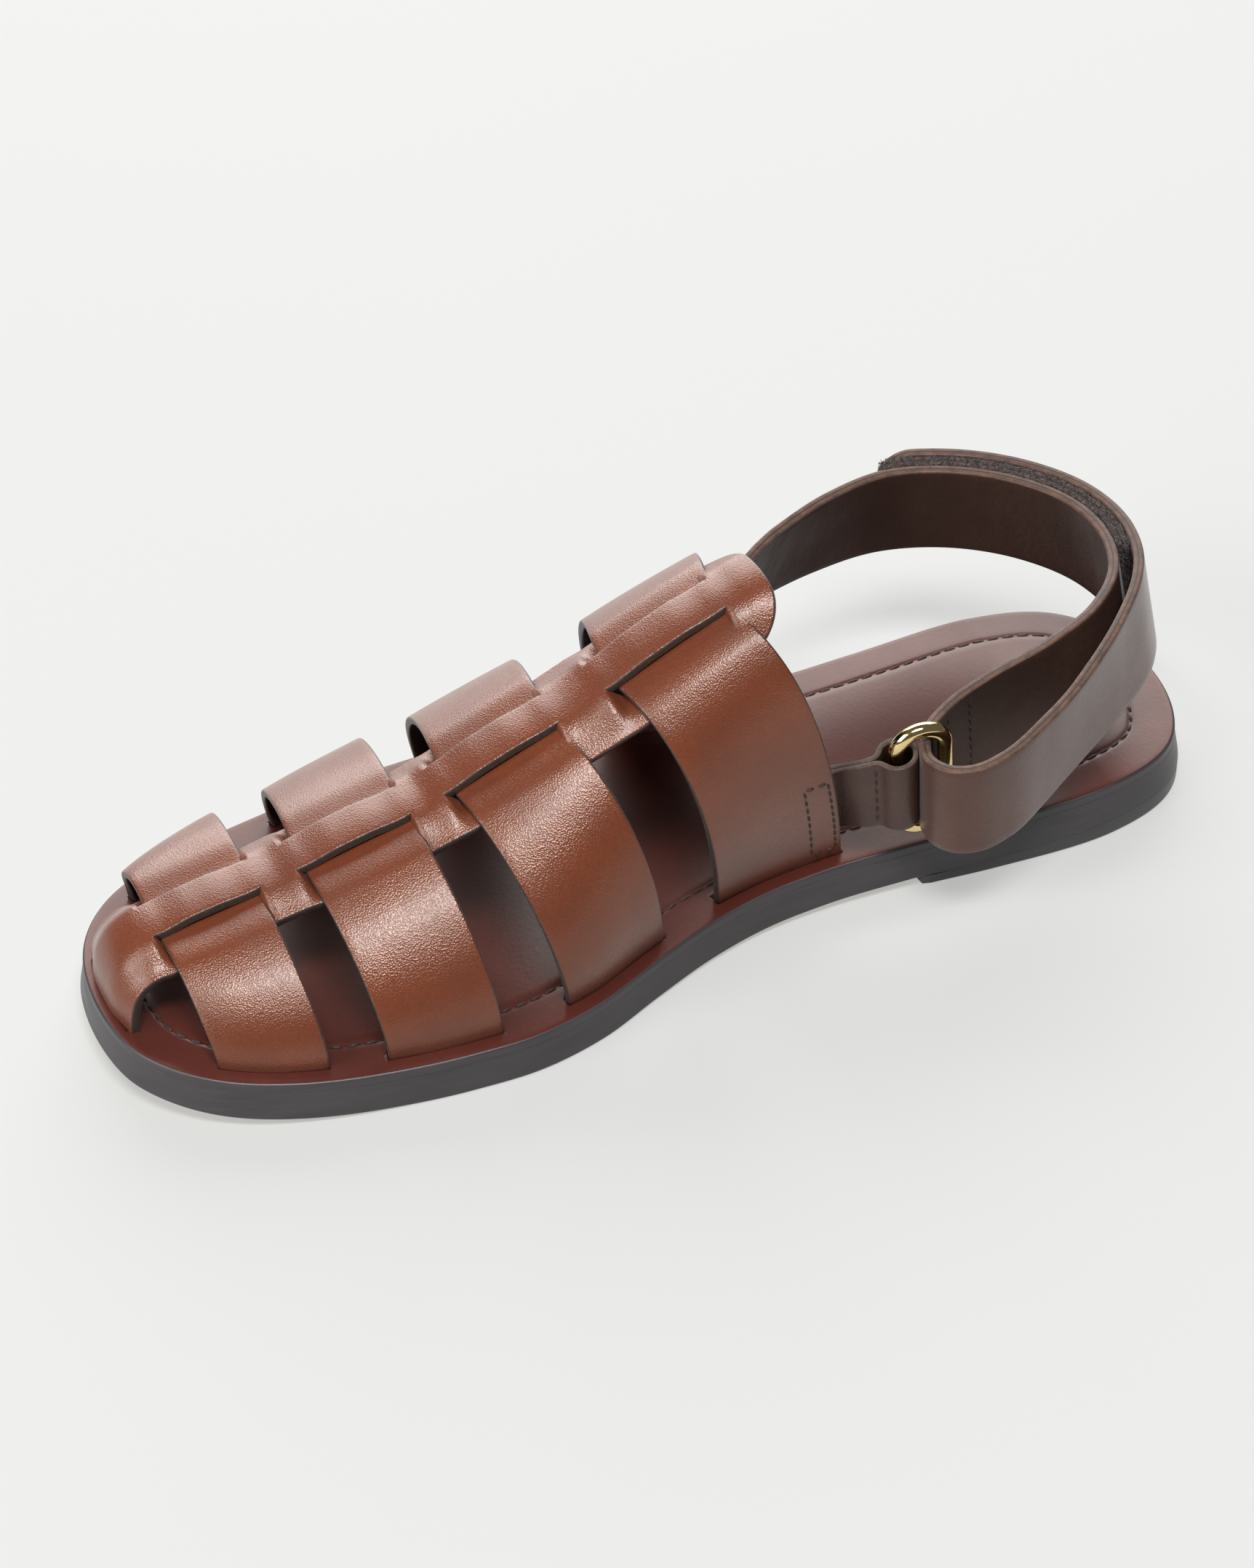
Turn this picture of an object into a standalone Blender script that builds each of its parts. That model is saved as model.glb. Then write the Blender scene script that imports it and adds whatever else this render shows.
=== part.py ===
"""Caged leather sandal for the right foot, built around its last.

Raw sizes are millimetres: x runs from the back of the heel to the toe, y to the inner (medial) side,
z up from the floor. The finished part is shifted so that its origin is at the middle of its base.
"""

import math

import bpy
import bmesh
import numpy as np

MM = 0.001

# Sole
LENGTH = 256.0
OUTSOLE_THICK = 6.3
INSOLE_THICK = 2.2
SEAT_GAP = 0.3
HEEL_RISE = 4.3
HEEL_RISE_FROM = 160.0
HEEL_RISE_FULL = 30.0
HEEL_RISE_POWER = 1.15
TOE_SPRING = 5.2
TOE_SPRING_FROM = 195.0
SIDE_FLARE = 1.3
EDGE_ROUND = 0.7
HEEL_BREAST_X = 76.0
FOOTBED_CROWN = 0.8
CROWN_FADE = 30.0
CROWN_COLUMN = 0.72

# Upper
STRAP_THICK = 2.0
SPINE_THICK = 2.2
SPINE_HALF = 14.0
BAND_HALF = 4.6
SPINE_REAR_X = 106.0
SPINE_CORNER = 10.0
SPINE_LINE_X = 241.5
SPINE_LINE_Y = 3.9
SPINE_LINE_SLOPE = -0.0605
SLOT_INSET = 6.0
SLOT_DEPTH = 1.6
SLOT_TOP = 25.0
BAND_ROOT = 0.9
SIDE_FULLNESS = 0.45

# Toe end of the spine, which turns down into the footbed
TOE_JOIN_X = 242.5
TOE_SLOT_X = 249.8
TOE_SLOT_HALF = 15.0
TOE_WAIST_HALF = 12.5
TOE_JOIN_ARCH = 0.024
TOE_SLOT_ARCH = 0.005

# Heel strap, ring and fastening
HEEL_STRAP_WIDE = 25.0
HEEL_STRAP_THICK = 2.4
HEEL_STRAP_CORNER = 8.0
SEWN_HEIGHT = 45.0
SEWN_FROM_X = 113.0
SEWN_TO_X = 98.0
TUCK_REACH = 40.0
TUCK_PAST = 2.0
TUCK_FADE = 10.0
TUCK_SPARE = 0.25
RIBBON_COLUMNS = 4
RIBBON_STEP = 3.4
PATCH_THICK = 1.1
PATCH_WIDE = 22.0
FASTEN_FROM = (50.0, -40.0)
FASTEN_TO = (21.0, 17.0)
FASTEN_STEP = 5.0
RING_CENTRE = (80.4, 36.1, 33.7)
RING_HIGH = 33.0
RING_WIDE = 14.0
RING_WIRE = 3.0
RING_LEAN = math.radians(8.0)
RING_TURN = math.radians(8.0)
TAB_WIDE = 21.0
TAB_LEAF = 1.3
TAB_HEIGHT = 31.5
TAB_FROM_X = 112.0
TAB_TO_X = 101.0
TAB_REACH = 5.0
EYE_SHORT = 0.2

# Facets
SOLE_STATIONS = 41
HEEL_STATIONS = 15
STRAP_ROWS = 4
STRAP_STEPS = 10
SPINE_ROWS = 20
SPINE_COLUMNS = 9
TOE_ROWS = 8
BAND_COLUMNS = 4
RING_BEND_STEPS = 10
RING_SIDES = 10
EYE_SIDES = 14
SHARP_ANGLE = math.radians(40)
MERGE = 0.005

# Edge of the footbed, seen from above
OUTLINE_COLUMNS = ("x", "lateral", "medial")
OUTLINE = (
    (0.0, -3.3, -3.3),
    (2.0, -16.4, 11.4),
    (10.0, -27.9, 26.1),
    (30.0, -34.7, 34.5),
    (60.0, -35.5, 33.8),
    (80.0, -36.1, 31.6),
    (100.0, -38.8, 30.3),
    (115.0, -41.8, 31.1),
    (130.0, -44.8, 34.4),
    (145.0, -47.2, 39.8),
    (160.0, -48.4, 45.8),
    (175.0, -48.1, 48.9),
    (190.0, -46.6, 48.5),
    (205.0, -43.9, 46.6),
    (225.0, -38.4, 42.4),
    (240.0, -30.6, 36.1),
    (250.0, -19.3, 27.0),
    (254.0, -10.1, 19.8),
    (LENGTH, 5.3, 5.3),
)

# Sections of the last: ridge height, reach of the rounded crown and swell of the wall on each side
LAST_COLUMNS = ("x", "ridge", "crown_medial", "crown_lateral", "swell_medial", "swell_lateral")
LAST = (
    (90.0, 86.0, 20.0, 24.0, 13.0, 7.0),
    (105.0, 79.5, 20.0, 24.0, 13.0, 7.0),
    (125.0, 69.6, 20.0, 24.0, 12.0, 7.0),
    (140.0, 61.8, 19.5, 23.0, 10.0, 6.5),
    (155.0, 54.4, 19.0, 22.0, 8.0, 6.0),
    (170.0, 47.6, 18.0, 20.5, 6.5, 5.5),
    (185.0, 41.4, 17.0, 19.0, 5.0, 5.0),
    (200.0, 37.0, 16.0, 17.5, 4.5, 4.5),
    (215.0, 33.0, 15.0, 16.0, 4.0, 4.0),
    (230.0, 29.2, 14.0, 14.5, 3.0, 3.0),
    (243.0, 26.6, 13.0, 13.0, 2.0, 2.0),
)

# Front and rear edge of each cross strap at the spine and at its two slots
STRAP_COLUMNS = ("name", "spine", "medial", "lateral")
STRAPS = (
    ("toe", (241.5, 219.5), (238.0, 217.5), (237.5, 214.2)),
    ("ball", (209.8, 186.3), (205.7, 181.7), (201.2, 176.5)),
    ("waist", (177.0, 153.6), (166.6, 140.6), (164.6, 139.3)),
    ("instep", (141.0, 116.2), (125.5, 95.6), (121.2, 92.6)),
)

# Bends of a cross strap at the spine: under the band, over the margin, then down on the last
BEND_COLUMNS = ("arc", "lift")
STRAP_BENDS = (
    (0.0, -0.6),
    (3.4, -0.6),
    (7.0, 1.8),
    (10.0, 1.8),
    (14.6, 1.8),
    (19.0, 0.0),
)

# Ramp of the band beside a strap: distance out from the strap's edge and height of the band's top
RAMP_COLUMNS = ("out", "top")
BAND_RAMP = (
    (6.0, 1.7),
    (3.0, 3.1),
    (0.0, 3.7),
    (-4.0, 3.9),
)

# Guide points of the toe end's bend: share is the height between the footbed (0) and the ridge (1)
TOE_COLUMNS = ("x", "share")
TOE_BEND = (
    (TOE_JOIN_X, 1.0),
    (247.0, 0.934),
    (250.6, 0.62),
    (TOE_SLOT_X, 0.0),
)

# Middle line of the heel strap after its sewn end: tilt is the lean of its top to the left of the run
RUN_COLUMNS = ("x", "y", "z", "tilt")
INNER_RUN = (
    (83.0, -34.0, 45.2, -20.0),
    (66.0, -38.6, 46.2, -15.0),
    (50.0, -39.6, 46.6, -12.0),
    (36.0, -34.5, 46.6, -12.0),
    (23.5, -23.5, 46.6, -12.0),
    (16.2, -9.5, 46.4, -12.0),
    (15.6, 4.5, 46.0, -12.0),
    (21.0, 17.0, 45.0, -10.0),
    (32.0, 25.3, 43.2, -6.0),
    (46.0, 28.4, 40.5, -2.0),
    (60.0, 28.4, 37.2, 3.0),
    (70.0, 29.6, 34.9, 7.0),
    (77.5, 33.8, 33.8, 7.0),
)
RING_LOOP = (
    (81.2, 39.6, 33.7, 4.0),
    (81.8, 44.4, 33.7, 0.0),
    (79.6, 48.4, 33.7, -3.0),
    (75.0, 50.4, 33.8, -5.0),
    (68.0, 50.2, 34.8, -6.0),
    (56.0, 46.0, 37.5, -5.0),
    (42.0, 38.8, 40.5, -2.0),
    (30.0, 31.6, 43.2, 3.0),
)

# Colours: linear red, green and blue, roughness and metallic value
MATERIALS = {
    "sole_black": ((0.022, 0.021, 0.022), 0.45, 0.0),
    "footbed_leather": ((0.060, 0.026, 0.022), 0.45, 0.0),
    "strap_leather": ((0.245, 0.076, 0.032), 0.42, 0.0),
    "ring_metal": ((0.80, 0.62, 0.28), 0.18, 1.0),
    "fastening_tape": ((0.030, 0.020, 0.018), 0.95, 0.0),
}


def column(table, columns, name):
    return np.array([row[columns.index(name)] for row in table], dtype=float)


def curve_through(knots, values):
    """Cubic curve through the rows of a table, as a function."""
    knots, values = np.asarray(knots, dtype=float), np.asarray(values, dtype=float)
    slopes = np.gradient(values, knots, axis=0)

    def curve(at):
        at = np.clip(at, knots[0], knots[-1])
        i = np.clip(np.searchsorted(knots, at) - 1, 0, len(knots) - 2)
        span = knots[i + 1] - knots[i]
        t = (at - knots[i]) / span
        value = (1 + 2 * t) * (1 - t) ** 2 * values[i] + t * t * (3 - 2 * t) * values[i + 1]
        return value + span * t * (1 - t) * ((1 - t) * slopes[i] - t * slopes[i + 1])

    return curve


def turn_angle(x):
    """Angle that spaces stations closely at the round heel and toe."""
    return np.arccos(np.clip(1 - 2 * np.asarray(x, dtype=float) / LENGTH, -1, 1))


def station(angle):
    return LENGTH * (1 - np.cos(angle)) / 2


OUTLINE_TURNS = turn_angle(column(OUTLINE, OUTLINE_COLUMNS, "x"))
EDGE_CURVES = {
    side: curve_through(OUTLINE_TURNS, column(OUTLINE, OUTLINE_COLUMNS, side))
    for side in OUTLINE_COLUMNS[1:]
}
LAST_CURVES = {
    name: curve_through(column(LAST, LAST_COLUMNS, "x"), column(LAST, LAST_COLUMNS, name))
    for name in LAST_COLUMNS[1:]
}


def edge(x, side):
    return EDGE_CURVES[side](turn_angle(x))


def sole_under(x):
    """Height of the outsole's underside: flat at the ball, rising to heel and toe."""
    heel = np.clip((HEEL_RISE_FROM - x) / (HEEL_RISE_FROM - HEEL_RISE_FULL), 0, 1) ** HEEL_RISE_POWER
    toe = np.clip((x - TOE_SPRING_FROM) / (LENGTH - TOE_SPRING_FROM), 0, None) ** 2
    return HEEL_RISE * heel + TOE_SPRING * toe


def footbed_top(x):
    return sole_under(x) + OUTSOLE_THICK + SEAT_GAP + INSOLE_THICK


def spine_line(x):
    return SPINE_LINE_Y + SPINE_LINE_SLOPE * (x - SPINE_LINE_X)


def last_point(x, t, side):
    """Point of the last: t runs round the section from the ridge (0) to the footbed slot (1)."""
    sign = 1.0 if side == "medial" else -1.0
    step = 0.5
    lean = (edge(x + step, side) - edge(x - step, side)) / (2 * step)
    ridge_y, ridge_z = spine_line(x), LAST_CURVES["ridge"](x)
    base_y = edge(x, side) - sign * SLOT_INSET * np.sqrt(1 + lean ** 2)
    base_z = footbed_top(x)
    crown_y = ridge_y + sign * LAST_CURVES["crown_" + side](x)
    wall_y = base_y + sign * LAST_CURVES["swell_" + side](x)
    wall_z = base_z + SIDE_FULLNESS * (ridge_z - base_z)
    a, b, c, d = (1 - t) ** 3, 3 * (1 - t) ** 2 * t, 3 * (1 - t) * t ** 2, t ** 3
    y = a * ridge_y + b * crown_y + c * wall_y + d * base_y
    z = (a + b) * ridge_z + c * wall_z + d * base_z
    return np.stack(np.broadcast_arrays(x, y, z), axis=-1)


def unit(vector):
    return vector / np.linalg.norm(vector)


def last_normal(x, t, side):
    """Outward normal of the last."""
    step = 0.01
    low, high = max(t - step, 0.0), min(t + step, 1.0)
    round_way = last_point(x, high, side) - last_point(x, low, side)
    long_way = last_point(x + 1, t, side) - last_point(x - 1, t, side)
    if t < step:
        round_way = np.array((0.0, 1.0 if side == "medial" else -1.0, 0.0))
    normal = np.cross(long_way, round_way)
    return unit(normal if side == "medial" else -normal)


def arc_places(x_of_t, side, arcs_of_total):
    """Lengths down one side from the spine line, and the places round the section that reach them."""
    fine = np.linspace(0, 1, 81)
    points = last_point(x_of_t(fine), fine, side)
    lengths = np.concatenate(([0], np.cumsum(np.linalg.norm(np.diff(points, axis=0), axis=1))))
    arcs = arcs_of_total(lengths[-1])
    return arcs, np.interp(arcs, lengths, fine)


def on_last(x, arc):
    """Point and normal at an arc distance across the spine line, plus to the medial side."""
    side = "medial" if arc >= 0 else "lateral"
    _, t = arc_places(lambda fine: x + 0 * fine, side, lambda total: abs(arc))
    return last_point(x, t, side), last_normal(x, t, side)


def make_material(name):
    colour, rough, metal = MATERIALS[name]
    material = bpy.data.materials.new(name)
    material.use_nodes = True
    shader = material.node_tree.nodes["Principled BSDF"]
    shader.inputs["Base Color"].default_value = (*colour, 1.0)
    shader.inputs["Roughness"].default_value = rough
    shader.inputs["Metallic"].default_value = metal
    return material


def rim(rows, columns):
    """Grid places round the edge of a grid, in order."""
    down = [(i, 0) for i in range(rows)]
    across = [(rows - 1, j) for j in range(1, columns)]
    up = [(i, columns - 1) for i in range(rows - 2, -1, -1)]
    back = [(0, j) for j in range(columns - 2, 0, -1)]
    return down + across + up + back


def layered_solid(name, layers, material):
    """Closed solid between the first and last grid of points, walled through the rims of all."""
    mesh_maker = bmesh.new()
    grids = [np.asarray(layer, dtype=float) for layer in layers]
    rows, columns, _ = grids[0].shape
    places = rim(rows, columns)
    faces_of = {0: {}, len(grids) - 1: {}}
    rims = []
    for level, grid in enumerate(grids):
        wanted = places
        if level in faces_of:
            wanted = [(i, j) for i in range(rows) for j in range(columns)]
        verts = {place: mesh_maker.verts.new(grid[place] * MM) for place in wanted}
        rims.append([verts[place] for place in places])
        if level in faces_of:
            faces_of[level] = verts
    for level, verts in faces_of.items():
        for i in range(rows - 1):
            for j in range(columns - 1):
                corners = [verts[i, j], verts[i + 1, j], verts[i + 1, j + 1], verts[i, j + 1]]
                mesh_maker.faces.new(corners if level == 0 else corners[::-1])
    for low, high in zip(rims, rims[1:]):
        for k in range(len(places)):
            after = (k + 1) % len(places)
            mesh_maker.faces.new((low[k], high[k], high[after], low[after]))
    bmesh.ops.remove_doubles(mesh_maker, verts=mesh_maker.verts[:], dist=MERGE * MM)
    bmesh.ops.triangulate(mesh_maker, faces=mesh_maker.faces[:], quad_method="SHORT_EDGE")
    bmesh.ops.recalc_face_normals(mesh_maker, faces=mesh_maker.faces[:])
    return finish_object(name, mesh_maker, material)


def finish_object(name, mesh_maker, material):
    mesh = bpy.data.meshes.new(name)
    mesh_maker.to_mesh(mesh)
    mesh_maker.free()
    mesh.materials.append(material)
    mesh.shade_smooth()
    mesh.set_sharp_from_angle(angle=SHARP_ANGLE)
    piece = bpy.data.objects.new(name, mesh)
    bpy.context.scene.collection.objects.link(piece)
    return piece


def as_cutter(piece):
    piece.hide_render = True
    piece.display_type = "WIRE"
    return piece


def add_boolean(piece, other, operation):
    as_cutter(other)
    boolean = piece.modifiers.new(other.name, "BOOLEAN")
    boolean.operation = operation
    boolean.solver = "EXACT"
    boolean.object = other


def sole_grid(stations, across, height, outset=0.0):
    """Grid over the sole: rows at stations, columns across, moved outwards by outset."""
    grid = []
    for x in stations:
        lateral, medial = edge(x, "lateral"), edge(x, "medial")
        middle, half = (lateral + medial) / 2, (medial - lateral) / 2
        stretch = LENGTH / 2 + outset
        far_x = LENGTH / 2 + (x - LENGTH / 2) * stretch / (LENGTH / 2)
        wide = half + outset if half > abs(outset) else half
        grid.append([(far_x, middle + v * wide, height(x, v)) for v in across])
    return np.array(grid)


def build_outsole(material):
    stations = station(np.linspace(0, math.pi, SOLE_STATIONS))
    across = (-1.0, 0.0, 1.0)
    top = sole_grid(stations, across, lambda x, v: sole_under(x) + OUTSOLE_THICK)
    side = sole_grid(stations, across, lambda x, v: sole_under(x) + EDGE_ROUND, SIDE_FLARE)
    under = sole_grid(stations, across, lambda x, v: sole_under(x), SIDE_FLARE - EDGE_ROUND)
    return layered_solid("outsole", (top, side, under), material)


def build_heel_lift(material):
    breast = turn_angle(HEEL_BREAST_X)
    stations = station(np.linspace(0, breast, HEEL_STATIONS))
    across = (-1.0, 0.0, 1.0)
    top = sole_grid(stations, across, lambda x, v: sole_under(x) - SEAT_GAP, SIDE_FLARE - EDGE_ROUND)
    side = sole_grid(stations, across, lambda x, v: EDGE_ROUND, SIDE_FLARE)
    under = sole_grid(stations, across, lambda x, v: 0.0, SIDE_FLARE - EDGE_ROUND)
    return layered_solid("heel_lift", (top, side, under), material)


def build_insole(material, slots):
    stations = station(np.linspace(0, math.pi, SOLE_STATIONS))
    across = (-1.0, -CROWN_COLUMN, 0.0, CROWN_COLUMN, 1.0)

    def crowned(x, v):
        ends = np.clip(np.minimum(x, LENGTH - x) / CROWN_FADE, 0, 1)
        return footbed_top(x) + FOOTBED_CROWN * ends * (1 - v * v)

    top = sole_grid(stations, across, crowned, -EDGE_ROUND)
    side = sole_grid(stations, across, lambda x, v: footbed_top(x) - EDGE_ROUND)
    under = sole_grid(stations, across, lambda x, v: footbed_top(x) - INSOLE_THICK)
    insole = layered_solid("insole", (top, side, under), material)
    for slot in slots:
        add_boolean(insole, slot, "DIFFERENCE")
    return insole


def strap_edge_x(strap, side, t, v):
    at_spine = strap[STRAP_COLUMNS.index("spine")]
    at_slot = strap[STRAP_COLUMNS.index(side)]
    front = at_spine[0] + (at_slot[0] - at_spine[0]) * t
    rear = at_spine[1] + (at_slot[1] - at_spine[1]) * t
    return front + (rear - front) * v


def strap_lift(arc):
    """Height of a strap's inner face over the last."""
    arcs, lifts = (column(STRAP_BENDS, BEND_COLUMNS, name) for name in BEND_COLUMNS)
    return np.interp(arc, arcs, lifts)


def strap_arcs(total):
    """Places down one side of a strap: its bends at the spine, then even steps to the slot."""
    bends = column(STRAP_BENDS, BEND_COLUMNS, "arc")
    return np.concatenate((bends, np.linspace(bends[-1], total, STRAP_STEPS)[1:]))


def strap_half(strap, side, v):
    """Inner and outer points of one half of a strap, from the spine line down into the slot."""
    arcs, places = arc_places(lambda t: strap_edge_x(strap, side, t, v), side, strap_arcs)
    inner, outer = [], []
    for arc, t in zip(arcs, places):
        x = strap_edge_x(strap, side, t, v)
        point, normal = last_point(x, t, side), last_normal(x, t, side)
        if t == places[-1]:
            normal = unit(normal * (1, 1, 0))
        inner.append(point + normal * strap_lift(arc))
        outer.append(point + normal * (strap_lift(arc) + STRAP_THICK))
    for half in (inner, outer):
        half.append(half[-1] - np.array((0, 0, SLOT_DEPTH)))
    return inner, outer


def build_strap(strap, material):
    inner, outer = [], []
    for v in np.linspace(0, 1, STRAP_ROWS):
        lateral, medial = strap_half(strap, "lateral", v), strap_half(strap, "medial", v)
        inner.append(lateral[0][::-1] + medial[0][1:])
        outer.append(lateral[1][::-1] + medial[1][1:])
    return layered_solid(strap[0] + "_strap", (outer, inner), material)


def spine_half(x):
    """Half width of the spine, with the round corners of its rear end."""
    inside = np.clip((x - SPINE_REAR_X) / SPINE_CORNER, 0, 1)
    return SPINE_HALF - SPINE_CORNER * (1 - math.sqrt(1 - (1 - inside) ** 2))


def toe_row(w, arcs):
    """Points and normals across the toe end of the spine: w runs from the join (0) to the slot (1)."""
    join_z, slot_z = LAST_CURVES["ridge"](TOE_JOIN_X), footbed_top(TOE_SLOT_X)
    xs = column(TOE_BEND, TOE_COLUMNS, "x")
    zs = slot_z + column(TOE_BEND, TOE_COLUMNS, "share") * (join_z - slot_z)
    mix = np.array(((1 - w) ** 3, 3 * (1 - w) ** 2 * w, 3 * (1 - w) * w ** 2, w ** 3))
    slope = np.array((-(1 - w) ** 2, (1 - w) * (1 - 3 * w), w * (2 - 3 * w), w ** 2))
    x, z = mix @ xs, mix @ zs
    way = unit(np.array((slope @ xs, 0.0, slope @ zs)))
    normal = np.array((-way[2], 0.0, way[0]))
    arch = TOE_JOIN_ARCH + (TOE_SLOT_ARCH - TOE_JOIN_ARCH) * w
    half = np.interp(w, (0.0, 0.5, 1.0), (SPINE_HALF, TOE_WAIST_HALF, TOE_SLOT_HALF))
    points, normals = [], []
    for part in arcs:
        s = part * half
        points.append(np.array((x, spine_line(x) + s, z)) - normal * arch * s * s)
        normals.append(unit(normal + np.array((0, 2 * arch * s, 0))))
    return points, normals


def build_spine(material):
    arcs = np.linspace(-1, 1, SPINE_COLUMNS)
    inner, outer = [], []

    def add_row(points, normals):
        inner.append(points)
        outer.append([p + n * SPINE_THICK for p, n in zip(points, normals)])

    corner = SPINE_REAR_X + SPINE_CORNER * (1 - np.cos(np.radians((0, 25, 50, 75))))
    body = np.linspace(SPINE_REAR_X + SPINE_CORNER + 1, TOE_JOIN_X - 2, SPINE_ROWS)
    for x in np.concatenate((corner, body)):
        found = [on_last(x, part * spine_half(x)) for part in arcs]
        add_row([p for p, _ in found], [n for _, n in found])
    for w in np.linspace(0, 1, TOE_ROWS):
        add_row(*toe_row(w, arcs))
    for grid in (inner, outer):
        grid.append([p - np.array((0, 0, SLOT_DEPTH)) for p in grid[-1]])
    return layered_solid("upper", (outer, inner), material)


def build_band(strap, material):
    """Middle band of the spine where it rises over one strap."""
    front, rear = strap[STRAP_COLUMNS.index("spine")]
    outs, tops = (column(BAND_RAMP, RAMP_COLUMNS, name) for name in RAMP_COLUMNS)
    stations = np.concatenate((front + outs, rear - outs[::-1]))
    low, high = [], []
    for x, top in zip(stations, np.concatenate((tops, tops[::-1]))):
        found = [on_last(x, s) for s in np.linspace(-BAND_HALF, BAND_HALF, BAND_COLUMNS)]
        low.append([p + n * BAND_ROOT for p, n in found])
        high.append([p + n * top for p, n in found])
    return layered_solid(strap[0] + "_band", (high, low), material)


def slot_cutter(name, middle_line, material, thick):
    """Upright slot through the insole along a line of plan points."""
    line = np.array(middle_line, dtype=float)
    ways = np.gradient(line, axis=0)
    ways /= np.linalg.norm(ways, axis=1)[:, None]
    line[0] -= ways[0] * SEAT_GAP
    line[-1] += ways[-1] * SEAT_GAP
    across = np.stack((-ways[:, 1], ways[:, 0]), axis=1) * (thick / 2 + SEAT_GAP)
    grids = []
    for z in (0.0, SLOT_TOP):
        grids.append([[(*(p - a), z), (*(p + a), z)] for p, a in zip(line, across)])
    return layered_solid(name, grids[::-1], material)


def build_slots(material):
    slots = []
    for strap in STRAPS:
        for side in ("lateral", "medial"):
            line = []
            for v in np.linspace(0, 1, STRAP_ROWS):
                x = strap_edge_x(strap, side, 1.0, v)
                normal = unit(last_normal(x, 1.0, side) * (1, 1, 0))
                line.append((last_point(x, 1.0, side) + normal * STRAP_THICK / 2)[:2])
            slots.append(slot_cutter(strap[0] + "_slot_" + side, line, material, STRAP_THICK))
    points, normals = toe_row(1.0, np.linspace(-1, 1, SPINE_COLUMNS))
    line = [(p + n * SPINE_THICK / 2)[:2] for p, n in zip(points, normals)]
    slots.append(slot_cutter("toe_slot", line, material, SPINE_THICK))
    return slots


def build_upper(material):
    spine = build_spine(material)
    for strap in STRAPS:
        add_boolean(spine, build_strap(strap, material), "UNION")
        add_boolean(spine, build_band(strap, material), "UNION")
    return spine


def side_at_height(x, height, side):
    """Place round a section of the last where its wall has the given height."""
    fine = np.linspace(0.2, 1, 161)
    return np.interp(-height, -last_point(x, fine, side)[:, 2], fine)


def sewn_rows(side, height, from_x, to_x, depth, count):
    """Rows of a strap end sewn behind the instep strap, depth in from its inner face."""
    rows = []
    for x in np.linspace(from_x, to_x, count):
        t = side_at_height(x, height, side)
        normal = last_normal(x, t, side)
        place = last_point(x, t, side) - normal * (SEAT_GAP + depth)
        rows.append((*place, -math.degrees(math.asin(normal[2]))))
    return rows


def run_frames(rows, spacing):
    """Even samples along a strap's middle line: places, ways along, up the width and to the left."""
    rows = np.array(rows, dtype=float)
    chords = np.concatenate(([0], np.cumsum(np.linalg.norm(np.diff(rows[:, :3], axis=0), axis=1))))
    count = int(chords[-1] / spacing) + 1
    at = np.linspace(0, chords[-1], count)
    values = np.array([curve_through(chords, rows)(s) for s in at])
    places, tilts = values[:, :3], np.radians(values[:, RUN_COLUMNS.index("tilt")])
    ways = np.gradient(places, axis=0)
    ways /= np.linalg.norm(ways, axis=1)[:, None]
    lefts = np.stack((-ways[:, 1], ways[:, 0], np.zeros(count)), axis=1)
    lefts /= np.linalg.norm(lefts, axis=1)[:, None]
    ups = np.array((0, 0, 1)) * np.cos(tilts)[:, None] + lefts * np.sin(tilts)[:, None]
    faces = np.cross(ups, ways)
    return at, places, ups, faces


def tuck_in(points, side, depth):
    """Points of a strap end moved in behind the wall of the instep strap where they reach it."""
    sign = 1.0 if side == "medial" else -1.0
    for place in np.ndindex(points.shape[:2]):
        x, y, z = points[place]
        if x < STRAPS[-1][1][1] - TUCK_REACH or y * sign < 0:
            continue
        t = side_at_height(x, z, side)
        rear = strap_edge_x(STRAPS[-1], side, t, 1.0) - TUCK_PAST
        share = np.clip((x - rear + TUCK_FADE) / TUCK_FADE, 0, 1)
        normal = last_normal(x, t, side)
        inside = sign * last_point(x, t, side)[1] - depth / math.hypot(normal[0], normal[1])
        points[place][1] = sign * (sign * y + share * min(0.0, inside - sign * y))
    return points


def ribbon(name, rows, spacing, wide, thick, material, side, end_corner=0.0):
    """Flat strap along its middle line, tucked in on one side, with round corners at its far end."""
    at, places, ups, faces = run_frames(rows, spacing)
    halves = np.full(len(at), wide / 2)
    if end_corner:
        left = np.clip((at[-1] - at) / end_corner, 0, 1)
        halves -= end_corner * (1 - np.sqrt(1 - (1 - left) ** 2))
    across = np.linspace(-1, 1, RIBBON_COLUMNS)
    wall = thick / 2 if side == "lateral" else -thick / 2
    grids = []
    for out in (thick / 2, -thick / 2):
        shift = across[None, :, None] * halves[:, None, None]
        grid = (places + faces * out)[:, None, :] + ups[:, None, :] * shift
        depth = SEAT_GAP + TUCK_SPARE + abs(wall - out)
        grids.append(tuck_in(grid, side, depth))
    return layered_solid(name, grids, material)


def inner_rows():
    """Rows of the inner run with its sewn end."""
    sewn = sewn_rows("lateral", SEWN_HEIGHT, SEWN_FROM_X, SEWN_TO_X, HEEL_STRAP_THICK / 2, 3)
    return np.vstack((sewn, INNER_RUN))


def fastened_rows(out):
    """Rows beside the fastened stretch of the inner run, from the outer side to the heel."""
    _, places, ups, faces = run_frames(inner_rows(), FASTEN_STEP)
    start = np.argmin(np.linalg.norm(places[:, :2] - FASTEN_FROM, axis=1))
    stop = np.argmin(np.linalg.norm(places[:, :2] - FASTEN_TO, axis=1))
    tilts = np.degrees(np.arcsin(-faces[:, 2]))
    return np.column_stack((places + faces * out, tilts))[start:stop + 1]


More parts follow.
